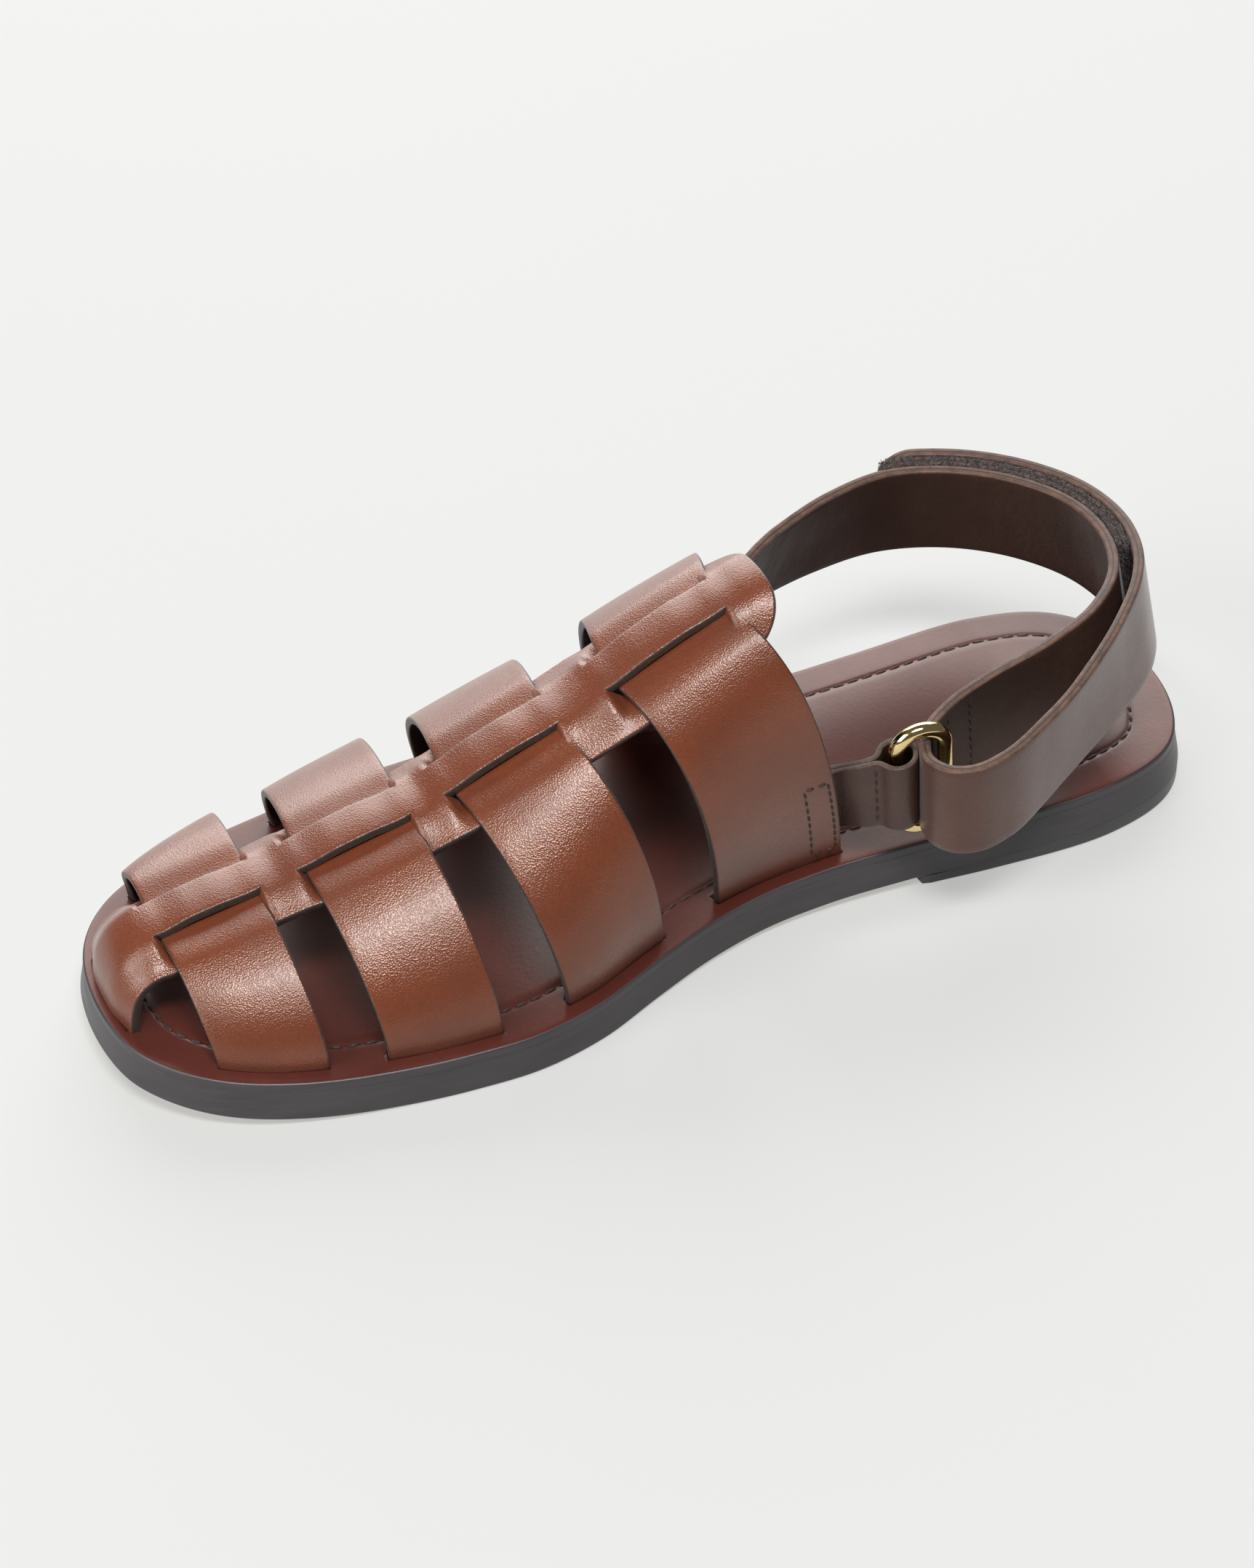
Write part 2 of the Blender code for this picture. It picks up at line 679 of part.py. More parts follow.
def patch_offsets():
    """Distances from the inner run's middle line to the two patches and to the return run."""
    loop = HEEL_STRAP_THICK / 2 + SEAT_GAP + PATCH_THICK / 2
    hook = loop + PATCH_THICK + SEAT_GAP
    back = hook + PATCH_THICK / 2 + SEAT_GAP + HEEL_STRAP_THICK / 2
    return loop, hook, back


def heel_rows():
    back = fastened_rows(patch_offsets()[2])[::-1]
    back[:, RUN_COLUMNS.index("tilt")] *= -1
    return np.vstack((inner_rows(), RING_LOOP, back))


def build_heel_strap(material):
    return ribbon("heel_strap", heel_rows(), RIBBON_STEP, HEEL_STRAP_WIDE, HEEL_STRAP_THICK, material,
                  "lateral", HEEL_STRAP_CORNER)


def build_patches(material):
    for name, out in zip(("loop_patch", "hook_patch"), patch_offsets()):
        ribbon(name, fastened_rows(out)[:-2], RIBBON_STEP, PATCH_WIDE, PATCH_THICK, material, "lateral")


def bridge(mesh_maker, loops):
    """Faces between each loop of points and the next, the last one meeting the first."""
    count = len(loops[0])
    for low, high in zip(loops, loops[1:] + loops[:1]):
        for k in range(count):
            after = (k + 1) % count
            mesh_maker.faces.new((low[k], low[after], high[after], high[k]))
    bmesh.ops.recalc_face_normals(mesh_maker, faces=mesh_maker.faces[:])


def ring_axes():
    """Ring's long way up, short way back to the heel strap and its facing."""
    up = np.array((0.0, math.sin(RING_LEAN), math.cos(RING_LEAN)))
    back = unit(np.array((-math.cos(RING_TURN), math.sin(RING_TURN), 0.0)))
    back = unit(back - up * (back @ up))
    return up, back, np.cross(back, up)


def build_ring(material):
    up, back, face = ring_axes()
    bend = (RING_WIDE - RING_WIRE) / 2
    straight = (RING_HIGH - RING_WIDE) / 2
    turns = np.radians(np.linspace(0, 180, RING_BEND_STEPS))
    path = [(math.cos(a) * bend, straight + math.sin(a) * bend) for a in turns]
    path += [(-p, -q) for p, q in path]
    path = np.array(path)
    ways = np.roll(path, -1, axis=0) - np.roll(path, 1, axis=0)
    ways /= np.linalg.norm(ways, axis=1)[:, None]
    mesh_maker = bmesh.new()
    loops = []
    for (p, q), (dp, dq) in zip(path, ways):
        out = back * dq - up * dp
        centre = np.array(RING_CENTRE) + back * p + up * q
        loop = []
        for k in range(RING_SIDES):
            angle = 2 * math.pi * k / RING_SIDES
            spoke = out * math.cos(angle) + face * math.sin(angle)
            loop.append(mesh_maker.verts.new((centre + spoke * RING_WIRE / 2) * MM))
        loops.append(loop)
    bridge(mesh_maker, loops)
    return finish_object("ring", mesh_maker, material)


def build_ring_tab(material):
    """Folded tab: a doubled leaf sewn behind the instep strap, and an eye round the ring's front bar."""
    up, back, face = ring_axes()
    bar = np.array(RING_CENTRE) - back * (RING_WIDE - RING_WIRE) / 2
    hole = RING_WIRE / 2 + SEAT_GAP
    sewn = sewn_rows("medial", TAB_HEIGHT, TAB_FROM_X, TAB_TO_X, TAB_LEAF, 3)
    sewn = [(x, y, z, -tilt) for x, y, z, tilt in sewn]
    reach = bar - back * (hole + TAB_LEAF / 2)
    tilt = -math.degrees(RING_LEAN)
    rows = sewn + [(*(reach - back * TAB_REACH), tilt), (*reach, tilt)]
    leaf = ribbon("ring_tab", rows, RIBBON_STEP, TAB_WIDE, 2 * TAB_LEAF, material, "medial")
    add_boolean(leaf, build_eye(bar, hole, material), "UNION")
    return leaf


def build_eye(bar, hole, material):
    """Tube of the tab round the ring's front bar."""
    up, back, face = ring_axes()
    half = TAB_WIDE / 2 - EYE_SHORT
    corners = ((hole + TAB_LEAF, -half), (hole + TAB_LEAF, half), (hole, half), (hole, -half))
    mesh_maker = bmesh.new()
    loops = []
    for out, along in corners:
        loop = []
        for k in range(EYE_SIDES):
            angle = 2 * math.pi * k / EYE_SIDES
            spoke = back * math.cos(angle) + face * math.sin(angle)
            loop.append(mesh_maker.verts.new((bar + spoke * out + up * along) * MM))
        loops.append(loop)
    bridge(mesh_maker, loops)
    return finish_object("ring_tab_eye", mesh_maker, material)


def move_to_base_centre():
    """Shift every mesh so that the origin is at the middle of the part's base."""
    bpy.context.view_layer.update()
    graph = bpy.context.evaluated_depsgraph_get()
    pieces = [o for o in bpy.context.scene.objects if o.type == "MESH"]
    shown = [o.evaluated_get(graph).to_mesh() for o in pieces if not o.hide_render]
    points = np.array([v.co for mesh in shown for v in mesh.vertices])
    low, high = points.min(axis=0), points.max(axis=0)
    centre = ((low + high) / 2)[:2]
    for piece in pieces:
        for vertex in piece.data.vertices:
            vertex.co.x -= centre[0]
            vertex.co.y -= centre[1]
            vertex.co.z -= low[2]


def main():
    for old in list(bpy.data.objects):
        bpy.data.objects.remove(old, do_unlink=True)
    materials = {name: make_material(name) for name in MATERIALS}
    build_outsole(materials["sole_black"])
    build_heel_lift(materials["sole_black"])
    build_insole(materials["footbed_leather"], build_slots(materials["footbed_leather"]))
    build_upper(materials["strap_leather"])
    build_heel_strap(materials["strap_leather"])
    build_ring_tab(materials["strap_leather"])
    build_ring(materials["ring_metal"])
    build_patches(materials["fastening_tape"])
    move_to_base_centre()


main()
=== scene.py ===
import math

import bmesh
import bpy
import numpy as np
from mathutils import Matrix, Vector


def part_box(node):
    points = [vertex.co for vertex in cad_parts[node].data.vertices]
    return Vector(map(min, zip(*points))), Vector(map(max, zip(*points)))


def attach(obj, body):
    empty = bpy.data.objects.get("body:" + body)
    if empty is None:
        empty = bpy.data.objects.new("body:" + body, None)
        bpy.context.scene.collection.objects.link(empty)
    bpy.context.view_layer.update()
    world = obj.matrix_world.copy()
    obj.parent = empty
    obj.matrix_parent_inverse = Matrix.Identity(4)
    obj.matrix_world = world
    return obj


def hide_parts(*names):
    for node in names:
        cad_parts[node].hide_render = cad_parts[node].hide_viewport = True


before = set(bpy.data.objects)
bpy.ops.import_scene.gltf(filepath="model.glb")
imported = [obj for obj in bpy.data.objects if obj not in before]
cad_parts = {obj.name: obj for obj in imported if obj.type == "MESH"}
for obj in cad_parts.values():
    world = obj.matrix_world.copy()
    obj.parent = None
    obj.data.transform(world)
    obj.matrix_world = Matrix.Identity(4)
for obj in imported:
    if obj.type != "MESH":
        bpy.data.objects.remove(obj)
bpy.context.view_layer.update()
mm = 0.001

# The last and the sole in millimetres: x from heel to toe, y to the inner side, z up from the floor
sole = {
    "length": 256.0, "outsoleThick": 6.3, "insoleThick": 2.2, "seatGap": 0.3,
    "heelRise": 4.3, "heelRiseFrom": 160.0, "heelRiseFull": 30.0, "heelRisePower": 1.15,
    "toeSpring": 5.2, "toeSpringFrom": 195.0, "sideFlare": 1.3, "edgeRound": 0.7,
    "heelBreast": 76.0, "footbedCrown": 0.8, "crownFade": 30.0,
}
outlineColumns = ("x", "lateral", "medial")
outlineRows = np.array((
    (0.0, -3.3, -3.3), (2.0, -16.4, 11.4), (10.0, -27.9, 26.1), (30.0, -34.7, 34.5),
    (60.0, -35.5, 33.8), (80.0, -36.1, 31.6), (100.0, -38.8, 30.3), (115.0, -41.8, 31.1),
    (130.0, -44.8, 34.4), (145.0, -47.2, 39.8), (160.0, -48.4, 45.8), (175.0, -48.1, 48.9),
    (190.0, -46.6, 48.5), (205.0, -43.9, 46.6), (225.0, -38.4, 42.4), (240.0, -30.6, 36.1),
    (250.0, -19.3, 27.0), (254.0, -10.1, 19.8), (256.0, 5.3, 5.3),
))
lastColumns = ("x", "ridge", "crownMedial", "crownLateral", "swellMedial", "swellLateral")
lastRows = np.array((
    (90.0, 86.0, 20.0, 24.0, 13.0, 7.0), (105.0, 79.5, 20.0, 24.0, 13.0, 7.0),
    (125.0, 69.6, 20.0, 24.0, 12.0, 7.0), (140.0, 61.8, 19.5, 23.0, 10.0, 6.5),
    (155.0, 54.4, 19.0, 22.0, 8.0, 6.0), (170.0, 47.6, 18.0, 20.5, 6.5, 5.5),
    (185.0, 41.4, 17.0, 19.0, 5.0, 5.0), (200.0, 37.0, 16.0, 17.5, 4.5, 4.5),
    (215.0, 33.0, 15.0, 16.0, 4.0, 4.0), (230.0, 29.2, 14.0, 14.5, 3.0, 3.0),
    (243.0, 26.6, 13.0, 13.0, 2.0, 2.0),
))
last = {
    "slotInset": 6.0, "sideFullness": 0.45, "spineX": 241.5, "spineY": 3.9, "spineSlope": -0.0605,
    "fineSteps": 161, "sideFrom": 0.2,
}


def curveThrough(knots, values):  # cubic curve through table rows
    slopes = np.gradient(values, knots, axis=0)

    def curve(at):
        at = np.clip(at, knots[0], knots[-1])
        i = np.clip(np.searchsorted(knots, at) - 1, 0, len(knots) - 2)
        span = knots[i + 1] - knots[i]
        t = (at - knots[i]) / span
        if values.ndim > 1:
            span, t = span[..., None], t[..., None]
        value = (1 + 2 * t) * (1 - t) ** 2 * values[i] + t * t * (3 - 2 * t) * values[i + 1]
        return value + span * t * (1 - t) * ((1 - t) * slopes[i] - t * slopes[i + 1])

    return curve


def turnAngle(x):  # spaces stations closely at the round heel and toe
    return np.arccos(np.clip(1 - 2 * np.asarray(x, dtype=float) / sole["length"], -1, 1))


outlineTurns = turnAngle(outlineRows[:, 0])
edgeCurves = {
    side: curveThrough(outlineTurns, outlineRows[:, i])
    for i, side in enumerate(outlineColumns) if i
}
lastCurves = {
    name: curveThrough(lastRows[:, 0], lastRows[:, i])
    for i, name in enumerate(lastColumns) if i
}


def smooth(value):  # soft step from 0 to 1
    value = np.clip(value, 0, 1)
    return value * value * (3 - 2 * value)


def unit(vectors):
    return vectors / np.linalg.norm(vectors, axis=-1, keepdims=True)


def runLengths(points):  # distance along a line of points
    return np.concatenate(([0], np.cumsum(np.linalg.norm(np.diff(points, axis=0), axis=1))))


def edgeY(x, side):
    return edgeCurves[side](turnAngle(x))


def soleUnder(x):
    heelRun = sole["heelRiseFrom"] - sole["heelRiseFull"]
    heel = np.clip((sole["heelRiseFrom"] - x) / heelRun, 0, 1) ** sole["heelRisePower"]
    toeRun = sole["length"] - sole["toeSpringFrom"]
    toe = np.clip((x - sole["toeSpringFrom"]) / toeRun, 0, None) ** 2
    return sole["heelRise"] * heel + sole["toeSpring"] * toe


def footbedTop(x):
    return soleUnder(x) + sole["outsoleThick"] + sole["seatGap"] + sole["insoleThick"]


def spineLine(x):
    return last["spineY"] + last["spineSlope"] * (x - last["spineX"])


def signOf(side):
    return 1.0 if side == "medial" else -1.0


def lastPoint(x, t, side):  # t runs from the ridge (0) to the footbed slot (1)
    sign = signOf(side)
    lean = edgeY(x + 0.5, side) - edgeY(x - 0.5, side)
    ridgeY, ridgeZ = spineLine(x), lastCurves["ridge"](x)
    baseY = edgeY(x, side) - sign * last["slotInset"] * np.sqrt(1 + lean ** 2)
    baseZ = footbedTop(x)
    crownY = ridgeY + sign * lastCurves["crown" + side.title()](x)
    wallY = baseY + sign * lastCurves["swell" + side.title()](x)
    wallZ = baseZ + last["sideFullness"] * (ridgeZ - baseZ)
    a, b, c, d = (1 - t) ** 3, 3 * (1 - t) ** 2 * t, 3 * (1 - t) * t ** 2, t ** 3
    y = a * ridgeY + b * crownY + c * wallY + d * baseY
    z = (a + b) * ridgeZ + c * wallZ + d * baseZ
    return np.stack(np.broadcast_arrays(x, y, z), axis=-1)


def lastNormal(x, t, side):
    x, t = np.broadcast_arrays(np.asarray(x, dtype=float), np.asarray(t, dtype=float))
    step = 0.01
    high, low = np.minimum(t + step, 1), np.maximum(t - step, 0)
    roundWay = lastPoint(x, high, side) - lastPoint(x, low, side)
    roundWay = np.where((t < step)[..., None], (0.0, signOf(side), 0.0), roundWay)
    longWay = lastPoint(x + 1, t, side) - lastPoint(x - 1, t, side)
    return unit(signOf(side) * np.cross(longWay, roundWay))


def placesOfArcs(x, arcs, side):  # places round the section at one x, or along a slanted edge x(t)
    fine = np.linspace(0, 1, last["fineSteps"])
    lengths = runLengths(lastPoint(x(fine), fine, side))
    arcs = arcs(lengths[-1])
    return arcs, np.interp(arcs, lengths, fine)


def onLast(x, arc):  # point and normal at an arc distance across the spine line
    side = "medial" if arc >= 0 else "lateral"
    t = placesOfArcs(lambda fine: x + 0 * fine, lambda total: np.array((abs(arc),)), side)[1]
    return lastPoint(x, t, side)[0], lastNormal(x, t, side)[0]


def sideAtHeight(x, height, side):
    fine = np.linspace(last["sideFrom"], 1, last["fineSteps"])
    return np.interp(-height, -lastPoint(x, fine, side)[:, 2], fine)


# Where the frame's footbed lies against these millimetres
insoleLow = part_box("insole")[0]
stations = np.linspace(0, math.pi, 41)
rawLow = np.array((0.0, edgeCurves["lateral"](stations).min(), 0.0))
frameShift = np.array((insoleLow.x, insoleLow.y, 0.0)) - rawLow * mm


def toFrame(points):
    return np.asarray(points, dtype=float) * mm + frameShift


# Materials
def newShader(name):
    material = bpy.data.materials.new(name)
    material.use_nodes = True
    tree = material.node_tree
    return material, tree, tree.nodes["Principled BSDF"]


def setSockets(shader, values):
    for key, value in values.items():
        shader.inputs[key].default_value = value


def addNode(tree, kind, **values):
    node = tree.nodes.new(kind)
    for key, value in values.items():
        if hasattr(node, key):
            setattr(node, key, value)
        else:
            node.inputs[key].default_value = value
    return node


def objectNoise(tree, scale, detail=3.0, roughness=0.55, stretch=(1, 1, 1)):
    coords = addNode(tree, "ShaderNodeTexCoord")
    place = addNode(tree, "ShaderNodeMapping", Scale=stretch)
    noise = addNode(tree, "ShaderNodeTexNoise", Scale=scale, Detail=detail, Roughness=roughness)
    tree.links.new(coords.outputs["Object"], place.inputs["Vector"])
    tree.links.new(place.outputs["Vector"], noise.inputs["Vector"])
    return noise.outputs["Fac"]


def objectCells(tree, scale):
    coords = addNode(tree, "ShaderNodeTexCoord")
    cells = addNode(tree, "ShaderNodeTexVoronoi", feature="F1", Scale=scale)
    tree.links.new(coords.outputs["Object"], cells.inputs["Vector"])
    return cells.outputs["Distance"]


def spread(tree, value, low, high, fromLow=0.3, fromHigh=0.7):  # a noise stretched to a range of numbers
    node = addNode(tree, "ShaderNodeMapRange")
    setSockets(node, {"From Min": fromLow, "From Max": fromHigh, "To Min": low, "To Max": high})
    tree.links.new(value, node.inputs["Value"])
    return node.outputs["Result"]


def mixColour(tree, share, first, second):
    node = addNode(tree, "ShaderNodeMix", data_type="RGBA", blend_type="MIX")
    for socket, value in ((node.inputs[0], share), (node.inputs[6], first), (node.inputs[7], second)):
        if isinstance(value, bpy.types.NodeSocket):
            tree.links.new(value, socket)
        else:
            socket.default_value = (*value, 1.0)
    return node.outputs[2]


def attribute(tree, name):
    return addNode(tree, "ShaderNodeAttribute", attribute_name=name).outputs["Fac"]


def glossRange(look):
    return look["rough"] - look["roughSpread"][0], look["rough"] + look["roughSpread"][1]


def addBump(tree, shader, layers):  # each layer: height, strength, depth in metres
    normal = None
    for height, strength, depth in layers:
        bump = addNode(tree, "ShaderNodeBump", Strength=strength, Distance=depth)
        tree.links.new(height, bump.inputs["Height"])
        if normal:
            tree.links.new(normal, bump.inputs["Normal"])
        normal = bump.outputs["Normal"]
    tree.links.new(normal, shader.inputs["Normal"])


def leatherFinish(name, look):
    material, tree, shader = newShader(name)
    cloud = objectNoise(tree, look["cloudScale"], 4.0)
    fleck = objectNoise(tree, look["fleckScale"], 2.0)
    colour = mixColour(tree, spread(tree, cloud, 0, 1), look["colour"], look["deep"])
    colour = mixColour(tree, spread(tree, fleck, 0, look["fleck"]), colour, look["deep"])
    back = mixColour(tree, spread(tree, fleck, 0, 1), look["flesh"], look["fleshDeep"])
    colour = mixColour(tree, attribute(tree, "back"), colour, back)
    streak = objectNoise(tree, look["streakScale"], 3.0, 0.7)
    rawEdge = mixColour(tree, spread(tree, streak, 0, 1), look["edge"], look["edgeDeep"])
    if look["seam"]:  # dark line along the middle of the edge, where two layers meet
        away = addNode(tree, "ShaderNodeMath", operation="SUBTRACT")
        away.inputs[1].default_value = look["seamAt"]
        tree.links.new(attribute(tree, "depth"), away.inputs[0])
        near = addNode(tree, "ShaderNodeMath", operation="ABSOLUTE")
        tree.links.new(away.outputs[0], near.inputs[0])
        joint = spread(tree, near.outputs[0], look["seam"], 0.0, *look["seamWide"])
        rawEdge = mixColour(tree, joint, rawEdge, look["seamColour"])
    colour = mixColour(tree, attribute(tree, "edge"), colour, rawEdge)
    tree.links.new(colour, shader.inputs["Base Color"])
    gloss = spread(tree, cloud, *glossRange(look))
    dull = addNode(tree, "ShaderNodeMath", operation="MAXIMUM")
    worn = addNode(tree, "ShaderNodeMath", operation="MULTIPLY")
    worn.inputs[1].default_value = look["edgeRough"]
    tree.links.new(attribute(tree, "edge"), worn.inputs[0])
    tree.links.new(gloss, dull.inputs[0])
    tree.links.new(worn.outputs[0], dull.inputs[1])
    tree.links.new(dull.outputs[0], shader.inputs["Roughness"])
    setSockets(shader, {
        "Coat Weight": look["coat"], "Coat Roughness": look["coatRough"],
        "Specular IOR Level": look["specular"], "Specular Tint": (*look["tint"], 1.0),
        "Sheen Weight": look["sheen"], "Sheen Roughness": look["sheenRough"],
    })
    grain = objectCells(tree, look["grainScale"])
    pores = objectNoise(tree, look["poreScale"], 2.0, 0.6)
    folds = objectNoise(tree, look["foldScale"], 3.0, 0.5, look["foldStretch"])
    addBump(tree, shader, (
        (grain, look["grain"], look["grainDeep"]),
        (pores, look["pores"], look["poreDeep"]),
        (folds, look["folds"], look["foldDeep"]),
    ))
    return material


strapLook = {
    "colour": (0.147, 0.0365, 0.0138), "deep": (0.103, 0.0235, 0.0088), "fleck": 0.55,
    "flesh": (0.040, 0.021, 0.015), "fleshDeep": (0.022, 0.012, 0.009),
    "edge": (0.015, 0.010, 0.008), "edgeDeep": (0.038, 0.026, 0.021), "edgeRough": 0.62,
    "seam": 0.0, "seamColour": (0.016, 0.010, 0.008), "seamAt": 0.5, "seamWide": (0.03, 0.10),
    "cloudScale": 55.0, "fleckScale": 900.0, "streakScale": 1300.0,
    "rough": 0.29, "roughSpread": (0.05, 0.06), "coat": 0.18, "coatRough": 0.22,
    "specular": 0.62, "tint": (1.0, 0.84, 0.74), "sheen": 0.08, "sheenRough": 0.4,
    "grainScale": 2600.0, "grain": 0.55, "grainDeep": 0.00012,
    "poreScale": 4200.0, "pores": 0.22, "poreDeep": 0.00010,
    "foldScale": 45.0, "foldStretch": (1, 1, 1), "folds": 0.10, "foldDeep": 0.0006,
}
heelLook = dict(
    strapLook, colour=(0.074, 0.0235, 0.014), deep=(0.050, 0.0145, 0.0085),
    edge=(0.120, 0.058, 0.040), edgeDeep=(0.036, 0.024, 0.019), edgeRough=0.8, seam=1.0,
    streakScale=420.0, rough=0.36, coat=0.25, coatRough=0.3, specular=0.42, sheen=0.16,
    folds=0.16, foldScale=70.0,
)
liningLook = dict(
    strapLook, colour=(0.054, 0.028, 0.021), deep=(0.030, 0.015, 0.011), fleck=0.6,
    rough=0.5, coat=0.03, specular=0.35, sheen=0.0, grain=0.40,
    folds=0.50, foldScale=190.0, foldStretch=(1.0, 1.0, 0.25),
)
tabLook = dict(
    strapLook, colour=(0.058, 0.026, 0.020), deep=(0.037, 0.016, 0.012),
    edge=(0.074, 0.048, 0.038), edgeDeep=(0.037, 0.024, 0.019), edgeRough=0.75,
    rough=0.42, specular=0.42, sheen=0.0, folds=0.25, foldScale=110.0,
)
footbedLook = dict(
    strapLook, colour=(0.084, 0.0205, 0.0145), deep=(0.056, 0.013, 0.009), fleck=0.35,
    rough=0.36, coat=0.12, coatRough=0.32, specular=0.28, sheen=0.0, cloudScale=40.0,
    grainScale=900.0, grain=0.12, pores=0.16, folds=0.10, foldScale=30.0,
)


def soleFinish(name, look):
    material, tree, shader = newShader(name)
    rub = objectNoise(tree, look["rubScale"], 4.0, 0.6, look["rubStretch"])
    colour = mixColour(tree, spread(tree, rub, 0, 1), look["colour"], look["worn"])
    tree.links.new(colour, shader.inputs["Base Color"])
    tree.links.new(spread(tree, rub, *glossRange(look)), shader.inputs["Roughness"])
    setSockets(shader, {"Specular IOR Level": look["specular"]})
    fine = objectNoise(tree, look["fineScale"], 3.0)
    addBump(tree, shader, ((rub, look["layers"], look["layerDeep"]), (fine, look["fine"], look["fineDeep"])))
    return material


soleEdgeLook = {
    "colour": (0.030, 0.0265, 0.028), "worn": (0.043, 0.039, 0.041),
    "rough": 0.38, "roughSpread": (0.05, 0.08), "specular": 0.5,
    "rubScale": 60.0, "rubStretch": (1, 1, 9), "layers": 0.06, "layerDeep": 0.0003,
    "fineScale": 1400.0, "fine": 0.12, "fineDeep": 0.0001,
}
soleUnderLook = dict(
    soleEdgeLook, colour=(0.330, 0.200, 0.100), worn=(0.250, 0.145, 0.070), rough=0.55,
    rubScale=90.0, rubStretch=(1, 2, 1), layers=0.10, fineScale=1800.0, fine=0.20,
)
ringLook = {
    "colour": (0.86, 0.68, 0.34), "deep": (0.78, 0.58, 0.26), "cloudScale": 220.0, "gloss": (0.07, 0.15),
    "scratchScale": 1500.0, "scratch": 0.04, "scratchDeep": 0.00005,
}
tapeLook = {
    "colour": (0.013, 0.008, 0.007), "tips": (0.105, 0.066, 0.055), "speckScale": 1300.0,
    "speckShare": (0.42, 0.62), "gloss": (0.75, 0.95), "sheen": 0.3, "pile": 0.6, "pileDeep": 0.0004,
}
threadLook = {
    "colour": (0.032, 0.014, 0.010), "deep": (0.014, 0.007, 0.006), "twistScale": 2400.0,
    "gloss": (0.5, 0.75), "twist": 0.5, "twistDeep": 0.0002,
}


def ringFinish(name, look):
    material, tree, shader = newShader(name)
    cloud = objectNoise(tree, look["cloudScale"], 3.0)
    colour = mixColour(tree, spread(tree, cloud, 0, 1), look["colour"], look["deep"])
    tree.links.new(colour, shader.inputs["Base Color"])
    tree.links.new(spread(tree, cloud, *look["gloss"]), shader.inputs["Roughness"])
    setSockets(shader, {"Metallic": 1.0})
    scratches = objectNoise(tree, look["scratchScale"], 2.0)
    addBump(tree, shader, ((scratches, look["scratch"], look["scratchDeep"]),))
    return material


def tapeFinish(name, look):
    material, tree, shader = newShader(name)
    speck = objectNoise(tree, look["speckScale"], 2.0, 0.7)
    colour = mixColour(tree, spread(tree, speck, 0, 1, *look["speckShare"]), look["colour"], look["tips"])
    tree.links.new(colour, shader.inputs["Base Color"])
    tree.links.new(spread(tree, speck, *look["gloss"]), shader.inputs["Roughness"])
    setSockets(shader, {"Sheen Weight": look["sheen"]})
    addBump(tree, shader, ((speck, look["pile"], look["pileDeep"]),))
    return material


def threadFinish(name, look):
    material, tree, shader = newShader(name)
    twist = objectNoise(tree, look["twistScale"], 2.0, 0.6)
    colour = mixColour(tree, spread(tree, twist, 0, 1), look["colour"], look["deep"])
    tree.links.new(colour, shader.inputs["Base Color"])
    tree.links.new(spread(tree, twist, *look["gloss"]), shader.inputs["Roughness"])
    addBump(tree, shader, ((twist, look["twist"], look["twistDeep"]),))
    return material


strapLeather = leatherFinish("strapLeather", strapLook)
heelLeather = leatherFinish("heelLeather", heelLook)
liningLeather = leatherFinish("liningLeather", liningLook)
tabLeather = leatherFinish("tabLeather", tabLook)
footbedLeather = leatherFinish("footbedLeather", footbedLook)
soleEdgePaint = soleFinish("soleEdgePaint", soleEdgeLook)
soleUnderLeather = soleFinish("soleUnderLeather", soleUnderLook)
ringGold = ringFinish("polishedGold", ringLook)
tapeFuzz = tapeFinish("fuzzyTape", tapeLook)
darkThread = threadFinish("darkThread", threadLook)
print("materials ready")


# Pieces
sheetRim = {"steps": 3, "shoulder": 0.55}
joining = {"doubles": 0.02, "slivers": 0.005}


def linked(name, data):  # new object in the scene
    thing = bpy.data.objects.new(name, data)
    bpy.context.scene.collection.objects.link(thing)
    return thing


def addPiece(name, mesh, node):
    piece = linked(name, mesh)
    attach(piece, "root")
    if node:
        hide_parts(node)


def newMesh(name, points, faces, materials, faceSlots=None, marks=None):
    mesh = bpy.data.meshes.new(name)
    mesh.from_pydata(toFrame(points).tolist(), [], [tuple(map(int, face)) for face in faces])
    for material in materials:
        mesh.materials.append(material)
    if faceSlots is not None:
        mesh.polygons.foreach_set("material_index", np.asarray(faceSlots, dtype=np.int32))
    for key, values in (marks or {}).items():
        layer = mesh.attributes.new(key, "FLOAT", "POINT")
        layer.data.foreach_set("value", np.asarray(values, dtype=np.float32))
    mesh.shade_smooth()
    return mesh


def facedOut(mesh, join=False):  # faces turned outwards, after doubles are joined
    maker = bmesh.new()
    maker.from_mesh(mesh)
    if join:
        bmesh.ops.remove_doubles(maker, verts=maker.verts[:], dist=joining["doubles"] * mm)
        bmesh.ops.dissolve_degenerate(maker, edges=maker.edges[:], dist=joining["slivers"] * mm)
    bmesh.ops.recalc_face_normals(maker, faces=maker.faces[:])
    maker.to_mesh(mesh)
    maker.free()
    return mesh


def rimLoops(quads):  # each rim point's neighbours, before and after it
    edges = np.concatenate([quads[:, (i, (i + 1) % 4)] for i in range(4)])
    known = set(map(tuple, edges.tolist()))
    rim = [(a, b) for a, b in known if (b, a) not in known]
    after = {a: b for a, b in rim}
    before = {b: a for a, b in rim}
    return sorted(after), before, after


